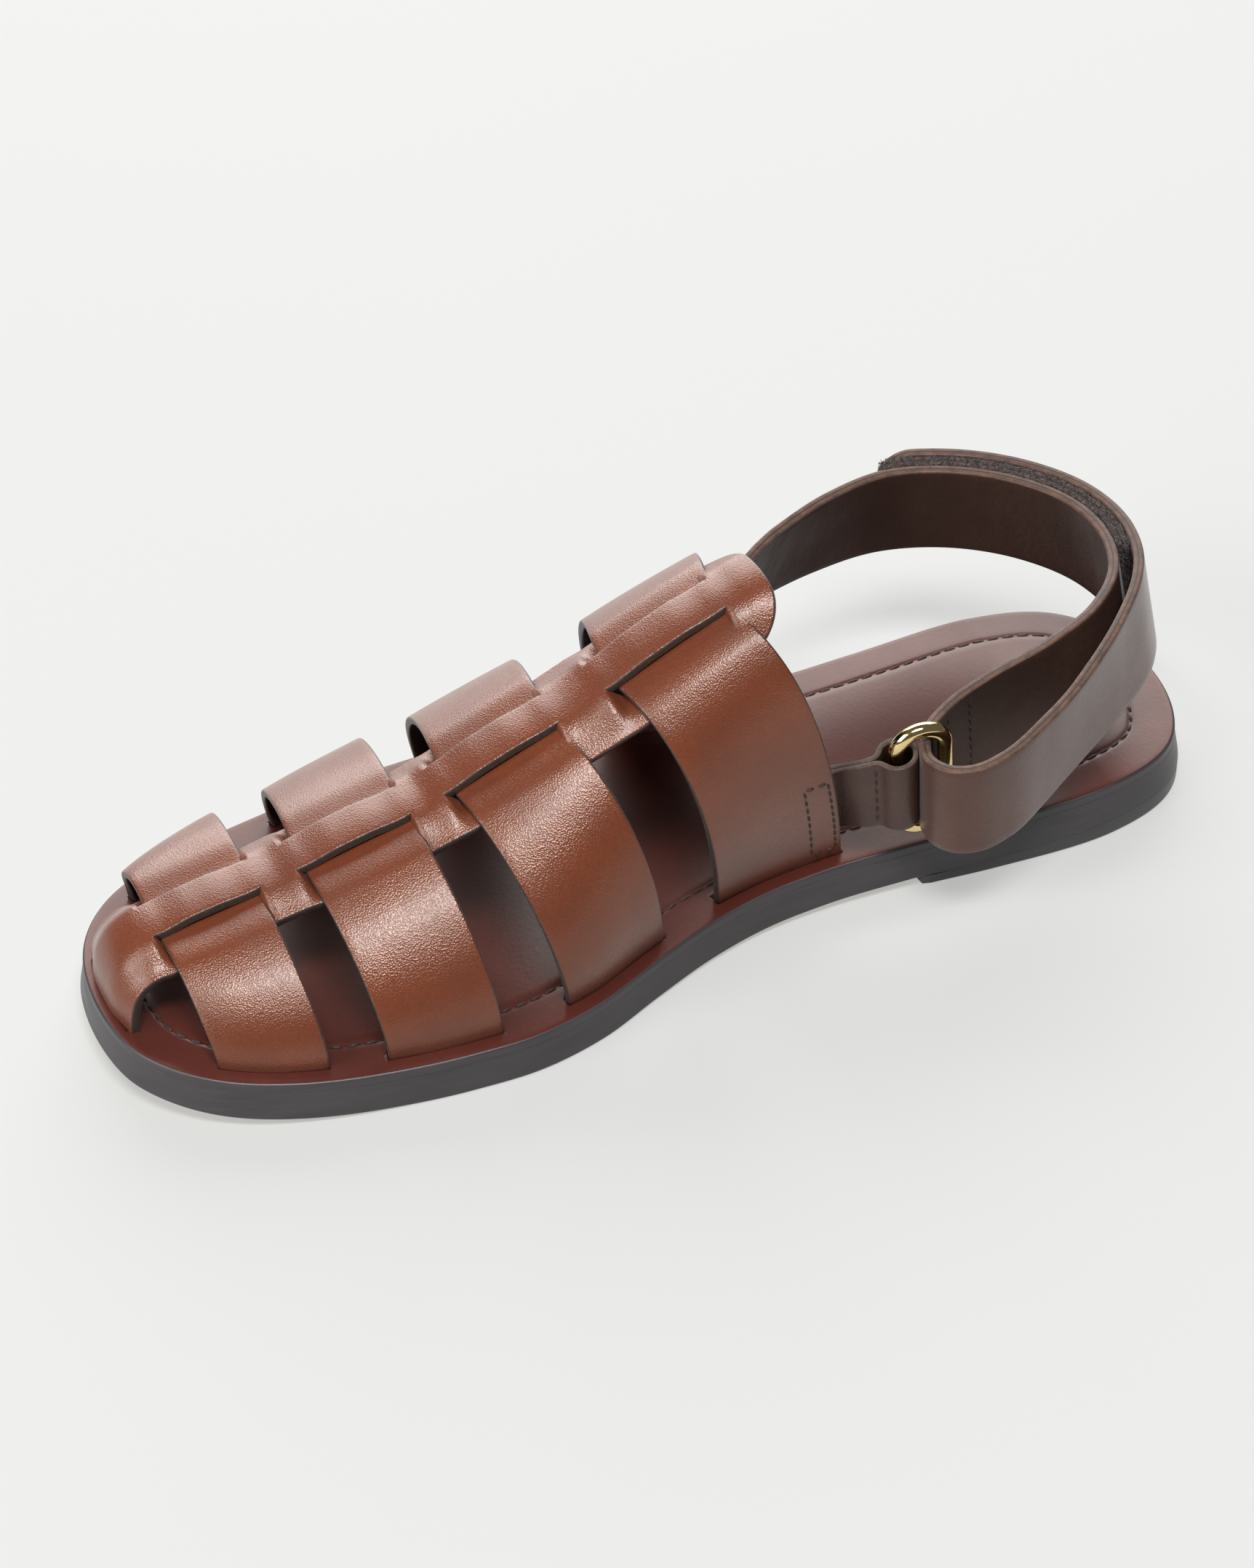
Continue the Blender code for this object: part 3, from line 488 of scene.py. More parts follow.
def leatherSheet(name, grain, normals, quads, thick, rim, materials, backSlots=None):
    a, b, c = (grain[quads[:, i]] for i in range(3))
    if np.einsum("ij,ij->", np.cross(b - a, c - a), normals[quads[:, 0]]) < 0:
        quads = quads[:, ::-1]
    order, before, after = rimLoops(quads)
    prior = grain[[before[i] for i in order]]
    later = grain[[after[i] for i in order]]
    outward = unit(np.cross(unit(later - prior), normals[order]))
    count, rimCount = len(grain), len(order)
    turns = np.linspace(0, math.pi / 2, sheetRim["steps"] + 1)
    profile = [(rim * math.sin(a), rim * (1 - math.cos(a))) for a in turns[1:]]
    profile += [(rim * math.cos(a), thick - rim + rim * math.sin(a)) for a in turns[:-1]]
    rings = [grain[order] + outward * out - normals[order] * down for out, down in profile]
    points = np.vstack([grain, grain - normals * thick] + rings)
    faces = quads.tolist() + (quads[:, ::-1] + count).tolist()
    place = {vertex: k for k, vertex in enumerate(order)}
    levels = [np.array(order)]
    levels += [2 * count + r * rimCount + np.arange(rimCount) for r in range(len(rings))]
    levels.append(np.array(order) + count)
    for upper, lower in zip(levels, levels[1:]):
        for vertex in order:
            k, j = place[vertex], place[after[vertex]]
            faces.append((upper[j], upper[k], lower[k], lower[j]))
    edge = np.zeros(len(points))
    edge[2 * count:] = 1.0
    edge[2 * count:2 * count + rimCount] = sheetRim["shoulder"]
    depth = np.zeros(len(points))
    depth[count:2 * count] = 1.0
    for r, (_, down) in enumerate(profile):
        depth[2 * count + r * rimCount:2 * count + (r + 1) * rimCount] = down / thick
    back = np.zeros(len(points))
    back[count:2 * count] = 1.0
    slots = np.zeros(len(faces), dtype=np.int32)
    if backSlots is not None:
        slots[:len(quads)] = backSlots[0]
        slots[len(quads):2 * len(quads)] = backSlots[1]
        back[:] = 0
    return newMesh(name, points, faces, materials, slots, {"edge": edge, "back": back, "depth": depth})


def gridQuads(rows, columns):
    ids = np.arange(rows * columns).reshape(rows, columns)
    corners = (ids[:-1, :-1], ids[1:, :-1], ids[1:, 1:], ids[:-1, 1:])
    return np.stack([c.ravel() for c in corners], axis=1)


def plainMesh(worker, name):  # modifiers taken up into a plain mesh
    graph = bpy.context.evaluated_depsgraph_get()
    mesh = bpy.data.meshes.new_from_object(worker.evaluated_get(graph))
    mesh.name = name
    bpy.data.objects.remove(worker, do_unlink=True)
    return mesh


def nodeMesh(name, mesh, tree, values):  # a Geometry Nodes tree run on a mesh
    worker = linked(name + "_base", mesh)
    modifier = worker.modifiers.new(name, "NODES")
    modifier.node_group = tree
    for item in tree.interface.items_tree:
        if item.item_type == "SOCKET" and item.in_out == "INPUT" and item.name in values:
            modifier[item.identifier] = values[item.name]
    return plainMesh(worker, name)


def newTree(name, inputs):
    tree = bpy.data.node_groups.new(name, "GeometryNodeTree")
    for key, kind in (("Geometry", "Geometry"), *inputs):
        tree.interface.new_socket(key, in_out="INPUT", socket_type="NodeSocket" + kind)
    tree.interface.new_socket("Geometry", in_out="OUTPUT", socket_type="NodeSocketGeometry")
    return tree, addNode(tree, "NodeGroupInput"), addNode(tree, "NodeGroupOutput")


def wire(tree, links):  # each link: node, its output, next node, its input
    for source, output, target, entry in links:
        tree.links.new(source.outputs[output], target.inputs[entry])


def paintCopies(tree, copies, material, made, between=()):  # copies made real and given their material
    kinds = ("GeometryNodeRealizeInstances", *between, "GeometryNodeSetMaterial")
    steps = [copies] + [addNode(tree, kind) for kind in kinds]
    wire(tree, [(first, 0, second, 0) for first, second in zip(steps, steps[1:] + [made])])
    tree.links.new(material, steps[-1].inputs["Material"])


# Cross straps
straps = {
    "thick": 2.0, "rim": 0.5, "columns": 20, "crown": 0.22, "slotDepth": 1.5,
    "bandHalf": 4.6, "nearArc": 21.0, "nearSteps": 34, "farSteps": 40,
    "bends": ((0.0, 0.3), (4.4, 0.3), (14.0, 1.8), (60.0, 1.8)), "fadeFrom": 0.3, "fadeRun": 0.62,
    "footFrom": 0.94, "footRun": 0.06, "bellyFrom": 0.1, "bellyRun": 0.8,
    "outerBelly": {"toe": 1.7, "ball": 0.5, "waist": -0.9, "instep": -1.2},
}
strapColumns = ("name", "spine", "medial", "lateral")
strapRows = (  # front and rear x at the spine and at the two slots
    ("toe", (241.5, 219.5), (238.0, 217.5), (237.5, 214.2)),
    ("ball", (209.8, 186.3), (205.7, 181.7), (201.2, 176.5)),
    ("waist", (177.0, 153.6), (166.6, 140.6), (164.6, 139.3)),
    ("instep", (141.0, 116.2), (125.5, 93.6), (121.2, 92.6)),
)


def softBends(value, table):  # table of places and heights joined by soft steps
    places, heights = np.array(table).T
    i = np.clip(np.searchsorted(places, value) - 1, 0, len(places) - 2)
    share = smooth((value - places[i]) / (places[i + 1] - places[i]))
    return heights[i] + (heights[i + 1] - heights[i]) * share


def spineEdges(strap):  # front and rear x at the spine
    return strap[strapColumns.index("spine")]


def strapEdgeX(strap, side, t, v):
    atSpine = spineEdges(strap)
    atSlot = strap[strapColumns.index(side)]
    front = atSpine[0] + (atSlot[0] - atSpine[0]) * t
    rear = atSpine[1] + (atSlot[1] - atSpine[1]) * t
    return front + (rear - front) * v


def strapArcs(total):
    near = np.linspace(0, straps["nearArc"], straps["nearSteps"])
    return np.concatenate((near, np.linspace(near[-1], total, straps["farSteps"])[1:]))


def strapFace(strap, side, v, arcs=strapArcs):  # outer face of half a strap, from the spine to its slot
    arcs, t = placesOfArcs(lambda fine: strapEdgeX(strap, side, fine, v), arcs, side)
    x = strapEdgeX(strap, side, t, v)
    normals = lastNormal(x, t, side)
    flat = smooth((t - straps["footFrom"]) / straps["footRun"])[..., None]
    normals = unit(normals * (1 - flat * np.array((0, 0, 1))))
    crown = straps["crown"] * (1 - (2 * v - 1) ** 2)
    lift = softBends(arcs, straps["bends"]) * (1 - smooth((t - straps["fadeFrom"]) / straps["fadeRun"]))
    if side == "lateral":
        share = np.clip((t - straps["bellyFrom"]) / straps["bellyRun"], 0, 1)
        lift = lift + straps["outerBelly"][strap[0]] * np.sin(math.pi * share) ** 2
    lift = lift + straps["thick"] + crown
    return lastPoint(x, t, side) + normals * lift[:, None], normals


def strapHalf(strap, side, v):
    points, normals = strapFace(strap, side, v)
    downs = [points[-1] - (0, 0, straps["slotDepth"] * k / 2) for k in (1, 2)]
    return np.vstack((points, downs)), np.vstack((normals, normals[-1:], normals[-1:]))


def makeStrap(strap):
    front, rear = spineEdges(strap)
    inset = straps["rim"] / (front - rear)
    grain, normals = [], []
    for v in np.linspace(inset, 1 - inset, straps["columns"]):
        (outer, outerN), (inner, innerN) = strapHalf(strap, "lateral", v), strapHalf(strap, "medial", v)
        grain.append(np.vstack((outer[::-1], inner[1:])))
        normals.append(np.vstack((outerN[::-1], innerN[1:])))
    rows = len(grain[0])
    grain, normals = np.array(grain).reshape(-1, 3), np.array(normals).reshape(-1, 3)
    quads = gridQuads(straps["columns"], rows)
    name = strap[0] + "_strap"
    mesh = leatherSheet(name, grain, normals, quads, straps["thick"], straps["rim"], [strapLeather])
    addPiece(name, mesh, "upper")


# Spine with its slits, the tongue at the rear and the turned-down toe end
spine = {
    "thick": 2.2, "rim": 0.45, "half": 14.0, "rearX": 106.0, "corner": 10.0, "rearJoin": 118.0,
    "rearRows": 14, "joinX": 242.5, "joinGap": 1.5, "rowStep": 0.8, "toeRows": 24, "slotDepth": 1.5,
    "bandColumns": 13, "marginColumns": 9, "marginFlat": 3.0, "marginEdge": (2.0, 1.3, 0.8),
    "slitPast": 1.3, "slitSpare": 0.3, "slitOpen": 1.2, "slitDroop": 1.9, "slitEnd": 2.6,
    "droopAcross": 7.5, "fadeAcross": 8.5,
    "marginSink": -0.35, "sinkFrom": 3.0, "sinkRun": 4.0, "toeBlendFrom": 233.0,
    "bandLift": ((-30.0, 2.9), (-9.0, 2.9), (-1.0, 2.2), (5.0, 1.5), (15.0, 0.0), (90.0, 0.0)),
    "toeBend": ((242.5, 1.0), (247.2, 0.934), (251.6, 0.62), (250.8, 0.0)),
    "halves": ((150.0, 14.0), (180.0, 13.3), (214.0, 12.2), (236.0, 11.6)),
    "toeHalves": ((0.0, 11.6), (0.5, 11.9), (1.0, 13.0)), "toeArch": (0.024, 0.005), "toeSlotSpare": 1.3,
    "creaseDepth": 0.03, "creaseWave": 2.1, "creaseReach": 4.2,
    "creaseAhead": 1.0, "creaseSquash": 0.8, "creaseSlant": 0.35, "creaseStart": 0.6,
}


def pastStraps(x):  # distance out from the nearest strap edge, minus inside a strap
    edges = [spineEdges(strap) for strap in strapRows]
    outs = [np.maximum(x - front, rear - x) for front, rear in edges]
    return np.min(outs, axis=0)


def slitCreases(x, s):  # soft ridges that pull at the slits' ends
    height = 0.0
    for strap in strapRows:
        front, rear = spineEdges(strap)
        ends = ((front + spine["slitPast"], 1), (rear - spine["slitPast"], -1))
        for end, way in ends[:1] if strap[0] == "instep" else ends:
            along = (x - end) * way
            across = abs(s) - straps["bandHalf"]
            ahead, aside = along - spine["creaseAhead"], across * spine["creaseSquash"]
            reach = np.hypot(ahead, aside) / spine["creaseReach"]
            wave = np.cos(2 * math.pi * (across + spine["creaseSlant"] * along) / spine["creaseWave"])
            fade, start = np.exp(-(2 * reach) ** 2), smooth(along + spine["creaseStart"])
            height += spine["creaseDepth"] * wave * fade * start
    return height


def marginSink(out):
    return spine["marginSink"] * smooth((spine["sinkFrom"] - out) / spine["sinkRun"])


def slitDepth(out):  # 1 well inside a slit, 0 at its ends
    return smooth((-out + spine["slitPast"]) / spine["slitEnd"])


def spineLift(x, s, inSlit, onBand):
    out = pastStraps(x)
    band = softBends(out, spine["bandLift"])
    margin = marginSink(out)
    if onBand:
        return band + (0.0 if inSlit else slitCreases(x, s))
    beyond = abs(s) - straps["bandHalf"]
    across = smooth(1 - beyond / spine["fadeAcross"])
    if inSlit:
        deep = slitDepth(out)
        droop = spine["slitDroop"] * deep * smooth(1 - beyond / spine["droopAcross"])
        return margin + (band - margin) * across * (1 - deep) - droop
    return margin + (band - margin) * across + slitCreases(x, s)


def toeRow(w, s):  # one row of the toe end, w from the join (0) to the footbed slot (1)
    ridge, slotZ = lastCurves["ridge"](spine["joinX"]), footbedTop(spine["toeBend"][-1][0])
    xs, heights = np.array(spine["toeBend"]).T
    zs = slotZ + heights * (ridge - slotZ)
    mix = np.array(((1 - w) ** 3, 3 * (1 - w) ** 2 * w, 3 * (1 - w) * w ** 2, w ** 3))
    slope = np.array((-(1 - w) ** 2, (1 - w) * (1 - 3 * w), w * (2 - 3 * w), w ** 2))
    x, z = mix @ xs, mix @ zs
    way = unit(np.array((slope @ xs, 0.0, slope @ zs)))
    normal = np.array((-way[2], 0.0, way[0]))
    arch = spine["toeArch"][0] + (spine["toeArch"][1] - spine["toeArch"][0]) * w
    points = np.stack((0 * s + x, spineLine(x) + s, 0 * s + z), axis=1) - normal * (arch * s * s)[:, None]
    normals = unit(normal + np.stack((0 * s, 2 * arch * s, 0 * s), axis=1))
    return points, normals


def spinePoint(x, s):  # on the last, passing over to the toe's own arch
    point, normal = onLast(x, s)
    share = smooth((x - spine["toeBlendFrom"]) / (spine["joinX"] - spine["toeBlendFrom"]))
    if share > 0:
        ridge = lastCurves["ridge"]
        slope = ridge(x + 0.5) - ridge(x - 0.5)
        up = unit(np.array((-slope, 0.0, 1.0)))
        arch = spine["toeArch"][0]
        toe = np.array((x, spineLine(x) + s, ridge(x))) - up * arch * s * s
        point = point + (toe - point) * share
        normal = unit(normal + (unit(up + np.array((0, 2 * arch * s, 0))) - normal) * share)
    return point, normal


def makeSpine():
    rim, half = spine["rim"], spine["half"]
    seam = straps["bandHalf"] - rim
    margin = np.linspace(seam, half - spine["marginFlat"], spine["marginColumns"])
    margin = np.concatenate((margin, half - np.array((*spine["marginEdge"], rim))))
    band = np.linspace(-seam, seam, spine["bandColumns"])
    strips = {"lateral": -margin[::-1], "band": band, "medial": margin}
    flat = half - spine["corner"]
    rows = []

    def rearX(s):
        return spine["rearX"] + rim + spine["corner"] - math.sqrt(
            max(spine["corner"] ** 2 - max(abs(s) - flat, 0) ** 2, 0))

    for share in np.linspace(0, 1, spine["rearRows"], endpoint=False):
        rows.append(("last", lambda s, share=share: rearX(s) + (spine["rearJoin"] - rearX(s)) * share))
    lastX = spine["joinX"] - spine["joinGap"]
    count = int((lastX - spine["rearJoin"]) / spine["rowStep"])
    for x in np.linspace(spine["rearJoin"], lastX, count):
        rows.append(("last", lambda s, x=x: x))
    for w in np.linspace(0, 1, spine["toeRows"]):
        rows.append(("toe", w))
    grain, normals, ids = [], [], []

    def narrowed(s, wide):  # column drawn in to a narrower spine, the band left as it is
        beyond = max(abs(s) - seam, 0.0) * (wide - rim - seam) / (half - rim - seam)
        return math.copysign(min(abs(s), seam) + beyond, s)

    def addPoint(point, normal, lift):
        grain.append(point + normal * (lift + spine["thick"]))
        normals.append(normal)
        return len(grain) - 1

    for kind, where in rows:
        inSlit = kind == "last" and pastStraps(where(0.0)) < spine["slitPast"] - spine["slitSpare"]
        row = {}
        for strip, columns in strips.items():
            row[strip] = []
            for s in columns:
                onBand = strip == "band"
                shared = not inSlit and not onBand and abs(abs(s) - seam) < 1e-6
                if shared:
                    row[strip].append(("seam", strip))
                    continue
                if kind == "toe":
                    toeHalf = softBends(where, spine["toeHalves"])
                    points, ways = toeRow(where, np.array((narrowed(s, toeHalf),)))
                    out = points[0][0] - spineEdges(strapRows[0])[0]
                    sink = marginSink(out)
                    fade = smooth(1 - max(abs(s) - straps["bandHalf"], 0) / spine["fadeAcross"])
                    lift = sink + (softBends(out, spine["bandLift"]) - sink) * fade
                    row[strip].append(addPoint(points[0], ways[0], lift))
                    continue
                at = s if onBand else narrowed(s, np.interp(where(s), *zip(*spine["halves"])))
                if inSlit and not onBand:
                    spreadBy = spine["slitOpen"] * slitDepth(pastStraps(where(s)))
                    at += math.copysign(spreadBy * (half - abs(s)) / (half - seam), s)
                x = where(s)
                point, normal = spinePoint(x, at)
                row[strip].append(addPoint(point, normal, spineLift(x, at, inSlit, onBand)))
        for strip, bandEnd in (("lateral", 0), ("medial", -1)):
            row[strip] = [row["band"][bandEnd] if isinstance(i, tuple) else i for i in row[strip]]
        ids.append(row)
    for _ in range(2):  # two rows down into the toe slot
        lower = {}
        for i in sorted({i for strip in strips for i in ids[-1][strip]}):
            grain.append(grain[i] - np.array((0, 0, spine["slotDepth"] / 2)))
            normals.append(normals[i])
            lower[i] = len(grain) - 1
        ids.append({strip: [lower[i] for i in ids[-1][strip]] for strip in strips})
    quads = []
    for first, second in zip(ids, ids[1:]):
        for strip in strips:
            near, far = first[strip], second[strip]
            quads += [(near[j], far[j], far[j + 1], near[j + 1]) for j in range(len(near) - 1)]
    mesh = leatherSheet("spine", np.array(grain), np.array(normals), np.array(quads),
                        spine["thick"], rim, [strapLeather])
    addPiece("spine", mesh, "upper")


for strapRow in strapRows:
    makeStrap(strapRow)
makeSpine()
print("upper woven")


# Sole, built from loops round its outline
def outlineLoop(count):
    angles = np.linspace(0, 2 * math.pi, count, endpoint=False)
    turn = np.where(angles <= math.pi, angles, 2 * math.pi - angles)
    y = np.where(angles <= math.pi, edgeCurves["medial"](turn), edgeCurves["lateral"](turn))
    return np.stack((sole["length"] * (1 - np.cos(turn)) / 2, y), axis=1)


def heelLoop(count):
    loop = outlineLoop(count)
    inner = loop[:count // 2][loop[:count // 2, 0] < sole["heelBreast"]]
    outer = loop[count // 2:][loop[count // 2:, 0] < sole["heelBreast"]]
    sides = [edgeY(sole["heelBreast"], side) for side in ("medial", "lateral")]
    breast = [(sole["heelBreast"], y) for y in np.linspace(*sides, outsole["breastColumns"])]
    return np.vstack((inner, breast, outer))


def outwardOf(loop):
    ways = unit(np.roll(loop, -1, axis=0) - np.roll(loop, 1, axis=0))
    return np.stack((-ways[:, 1], ways[:, 0]), axis=1)


def towardsCentre(loop, share, low, high):  # loop drawn in to the sole's middle line
    x = np.clip(loop[:, 0], low, high)
    middle = np.stack((x, (edgeY(x, "medial") + edgeY(x, "lateral")) / 2), axis=1)
    return loop + (middle - loop) * share


def loopSolid(name, rings, materials, secondRows):
    count = len(rings[0])
    points = np.vstack(rings)
    faces, slots = [], []
    for r in range(len(rings) - 1):
        for k in range(count):
            j = (k + 1) % count
            faces.append((r * count + k, r * count + j, (r + 1) * count + j, (r + 1) * count + k))
            slots.append(1 if r in secondRows else 0)
    plain = np.zeros(len(points))
    mesh = newMesh(name, points, faces, materials, slots, {"edge": plain, "back": plain})
    return facedOut(mesh, join=True)


outsole = {
    "count": 440, "centre": (46.0, 212.0), "heelCentre": (34.0, 60.0), "topRound": 0.03, "seamGap": 0.01,
    "innerInset": 12.0, "shares": (1.0, 0.66, 0.33, 0.0), "sideShares": (0.02, 0.2, 0.4, 0.6, 0.8, 0.98, 1.0),
    "roundFrom": 6.0, "roundRun": 8.0, "breastColumns": 40,
    "heelShares": (1.0, 0.6, 0.3), "heelLeast": 0.9, "heelSeam": 0.1,
}
footbed = {
    "count": 440, "stitchInset": 10.0, "groove": 0.25, "grooveWide": 0.6, "padRise": 0.2,
    "insets": (13.0, 12.0, 11.3, 10.8, 10.4, 10.0, 9.6, 9.2, 8.7, 7.6, 5.5, 3.5, 1.8, 0.7),
    "slotClear": 0.22, "slotSteps": 8, "toeSlotSteps": 12, "cutHeights": (0.0, 30.0),
    "padRun": 2.5, "middleInset": 20.0, "shares": (1.0, 0.8, 0.6, 0.4, 0.2), "underShares": (0.3, 0.65, 1.0),
    "edgeTurns": (25, 50, 70, 90), "edgeLine": 0.05, "stitchSteps": 900,
}
roundTurns = np.radians((30, 60, 90))


def level(plan, height):
    return np.column_stack((plan, height))


def makeOutsole():
    loop = outlineLoop(outsole["count"])
    out = outwardOf(loop)
    low, high = outsole["centre"]
    thick = sole["outsoleThick"] + sole["seatGap"] - outsole["seamGap"]
    flare, topRound = sole["sideFlare"], outsole["topRound"]
    beyond = smooth((loop[:, 0] - sole["heelBreast"] + outsole["roundFrom"]) / outsole["roundRun"])
    turn = topRound + (sole["edgeRound"] - topRound) * beyond  # sharp over the heel block
    wide = turn[:, None]
    rings = []

    def add(plan, lift):
        rings.append(level(plan, soleUnder(plan[:, 0]) + lift))

    inner = loop - out * outsole["innerInset"]
    for share in outsole["shares"]:
        add(towardsCentre(inner, share, low, high), thick)
    for angle in (0.0, *roundTurns):
        add(loop - out * topRound * (1 - math.sin(angle)), thick - topRound * (1 - math.cos(angle)))
    for share in outsole["sideShares"]:
        add(loop + out * flare * share, thick - topRound + (turn - thick + topRound) * share)
    for angle in roundTurns:
        add(loop + out * (flare - wide * (1 - math.cos(angle))), turn * (1 - math.sin(angle)))
    underFrom = len(rings) - 1
    for share in outsole["shares"][::-1]:
        add(towardsCentre(inner, share, low, high), 0.0)
    materials = [soleEdgePaint, soleUnderLeather]
    mesh = loopSolid("outsole_body", rings, materials, range(underFrom, len(rings)))
    addPiece("outsole_body", mesh, "outsole")


def makeHeelLift():
    loop = heelLoop(outsole["count"])
    out = outwardOf(loop)
    low, high = outsole["heelCentre"]
    flare, turn = sole["sideFlare"], sole["edgeRound"]
    rings = []

    def top(plan):
        return np.maximum(soleUnder(plan[:, 0]) - outsole["seamGap"], outsole["heelLeast"])

    for share in outsole["heelShares"]:
        plan = towardsCentre(loop, share, low, high)
        rings.append(level(plan, top(plan)))
    rings.append(level(loop + out * (flare - turn), top(loop)))
    for angle in roundTurns:
        plan = loop + out * (flare - turn + turn * math.sin(angle))
        rings.append(level(plan, top(loop) - outsole["topRound"] * (1 - math.cos(angle))))
    floor = 0 * loop[:, 0]
    rings.append(level(loop + out * flare, top(loop) - outsole["heelSeam"]))
    rings.append(level(loop + out * flare, floor + turn))
    for angle in roundTurns:
        plan = loop + out * (flare - turn * (1 - math.cos(angle)))
        rings.append(level(plan, floor + turn * (1 - math.sin(angle))))
    underFrom = len(rings) - 1
    for share in outsole["heelShares"][::-1]:
        rings.append(level(towardsCentre(loop, share, low, high), floor))
    materials = [soleEdgePaint, soleUnderLeather]
    mesh = loopSolid("heel_block", rings, materials, range(underFrom, len(rings)))
    addPiece("heel_block", mesh, "heel_lift")


def footbedHeight(plan, inset):
    x = plan[:, 0]
    lateral, medial = edgeY(x, "lateral"), edgeY(x, "medial")
    v = np.clip((2 * plan[:, 1] - lateral - medial) / np.maximum(medial - lateral, 1.0), -1, 1)
    ends = np.clip(np.minimum(x, sole["length"] - x) / sole["crownFade"], 0, 1)
    line = footbed["stitchInset"]
    pad = footbed["padRise"] * smooth((inset - line) / footbed["padRun"])
    groove = footbed["groove"] * np.exp(-((inset - line) / footbed["grooveWide"]) ** 2)
    return footbedTop(x) + sole["footbedCrown"] * ends * (1 - v * v) + pad - groove


def slotCutter(name, line, thick):  # upright block that cuts one strap's slot
    line = np.array(line)
    ways = unit(np.gradient(line, axis=0))
    side = np.stack((-ways[:, 1], ways[:, 0]), axis=1) * (thick / 2 + footbed["slotClear"])
    plan = np.vstack((line - side, (line + side)[::-1]))
    count = len(plan)
    points = np.vstack([level(plan, np.full(count, z)) for z in footbed["cutHeights"]])
    faces = [tuple(range(count))[::-1], tuple(range(count, 2 * count))]
    faces += [(k, (k + 1) % count, (k + 1) % count + count, k + count) for k in range(count)]
    return linked(name, facedOut(newMesh(name, points, faces, [footbedLeather])))


def slotCutters():
    cutters = []
    for strap in strapRows:
        for side in ("lateral", "medial"):
            line = []
            for v in np.linspace(0, 1, footbed["slotSteps"]):
                x = np.array((strapEdgeX(strap, side, 1.0, v),))
                normal = unit(lastNormal(x, 1.0, side) * (1, 1, 0))
                line.append((lastPoint(x, 1.0, side) + normal * (straps["thick"] / 2))[0, :2])
            cutters.append(slotCutter(strap[0] + "_slot_" + side, line, straps["thick"]))
    toeHalf = spine["toeHalves"][-1][1] - spine["toeSlotSpare"]
    points, normals = toeRow(1.0, np.linspace(-1, 1, footbed["toeSlotSteps"]) * toeHalf)
    line = (points + normals * spine["thick"] / 2)[:, :2]
    cutters.append(slotCutter("toe_slot", line, spine["thick"]))
    return cutters


def makeFootbed():
    loop = outlineLoop(footbed["count"])
    out = outwardOf(loop)
    low, high = outsole["centre"]
    rings = []
    inner = loop - out * footbed["insets"][0]
    for share in footbed["shares"]:
        plan = towardsCentre(inner, share, low, high)
        rings.append(level(plan, footbedHeight(plan, footbed["middleInset"])))
    for inset in footbed["insets"]:
        plan = loop - out * inset
        rings.append(level(plan, footbedHeight(plan, inset)))
    turn = sole["edgeRound"]
    edgeFrom = len(rings)
    for angle in np.radians(footbed["edgeTurns"]):
        plan = loop - out * turn * (1 - math.sin(angle))
        rings.append(level(plan, footbedHeight(plan, 0.0) - turn * (1 - math.cos(angle))))
    under = footbedTop(loop[:, 0]) - sole["insoleThick"]
    rings.append(level(loop, under + footbed["edgeLine"]))
    rings.append(level(loop, under))
    edgeTo = len(rings) - 1
    for share in footbed["underShares"]:
        plan = towardsCentre(loop, share, low, high)
        rings.append(level(plan, footbedTop(plan[:, 0]) - sole["insoleThick"]))
    mesh = loopSolid("footbed_block", rings, [footbedLeather, soleEdgePaint], range(edgeFrom, edgeTo))
    worker = linked("footbed_block", mesh)
    cutters = slotCutters()
    for cutter in cutters:
        cut = worker.modifiers.new(cutter.name, "BOOLEAN")
        cut.operation = "DIFFERENCE"
        cut.solver = "EXACT"
        cut.object = cutter
    mesh = plainMesh(worker, "footbed")
    for cutter in cutters:
        bpy.data.objects.remove(cutter, do_unlink=True)
    addPiece("footbed", mesh, "insole")


makeOutsole()
makeHeelLift()
makeFootbed()
print("sole and footbed made")


# Heel strap: sewn behind the outer rear strap, round the heel, through the ring and back on itself
heel = {
    "wide": 25.0, "thick": 2.4, "rim": 0.5, "corner": 8.0, "columns": 17, "step": 0.9,
    "sewnHeight": 45.0, "sewnFrom": 113.0, "sewnTo": 98.0, "sewnSteps": 3,
    "tuckReach": 40.0, "tuckPast": 1.0, "tuckFade": 14.0, "tuckSpare": 0.25,
    "fastenFrom": (50.0, -40.0), "fastenTo": (21.0, 17.0), "fastenStep": 5.0,
    "liningToX": 72.5, "stitchRowsX": (65.5, 72.0), "sewnLength": 60.0, "sewnEnd": 3.0,
    "sewnColumn": 2, "innerFrom": 0.3,
    "tapeThick": 1.1, "tapeWide": 24.8, "leanFrom": 48.0, "leanRun": 20.0, "leanSide": 15.0,
}
ring = {
    "centre": np.array((80.4, 36.1, 33.7)), "high": 33.0, "wide": 14.0, "wire": 3.0, "visibleWire": 3.4,
    "lean": math.radians(8.0), "pitch": math.radians(8.0), "turn": math.radians(8.0),
    "bendSteps": 40, "straightSteps": 12, "sides": 28,
}
innerRun = (  # x, y, z and tilt of the strap's middle line
    (83.0, -34.0, 45.2, -20.0), (66.0, -38.6, 46.2, -15.0), (50.0, -39.6, 46.6, -12.0),
    (36.0, -34.5, 46.6, -12.0), (23.5, -23.5, 46.6, -12.0), (16.2, -9.5, 46.4, -12.0),
    (15.6, 4.5, 46.0, -12.0), (21.0, 17.0, 45.0, -10.0), (32.0, 25.3, 43.2, -6.0),
    (46.0, 28.4, 40.5, -2.0), (60.0, 28.4, 37.2, 3.0), (70.0, 29.6, 34.9, 7.0),
    (77.5, 33.8, 33.8, 7.0),
)
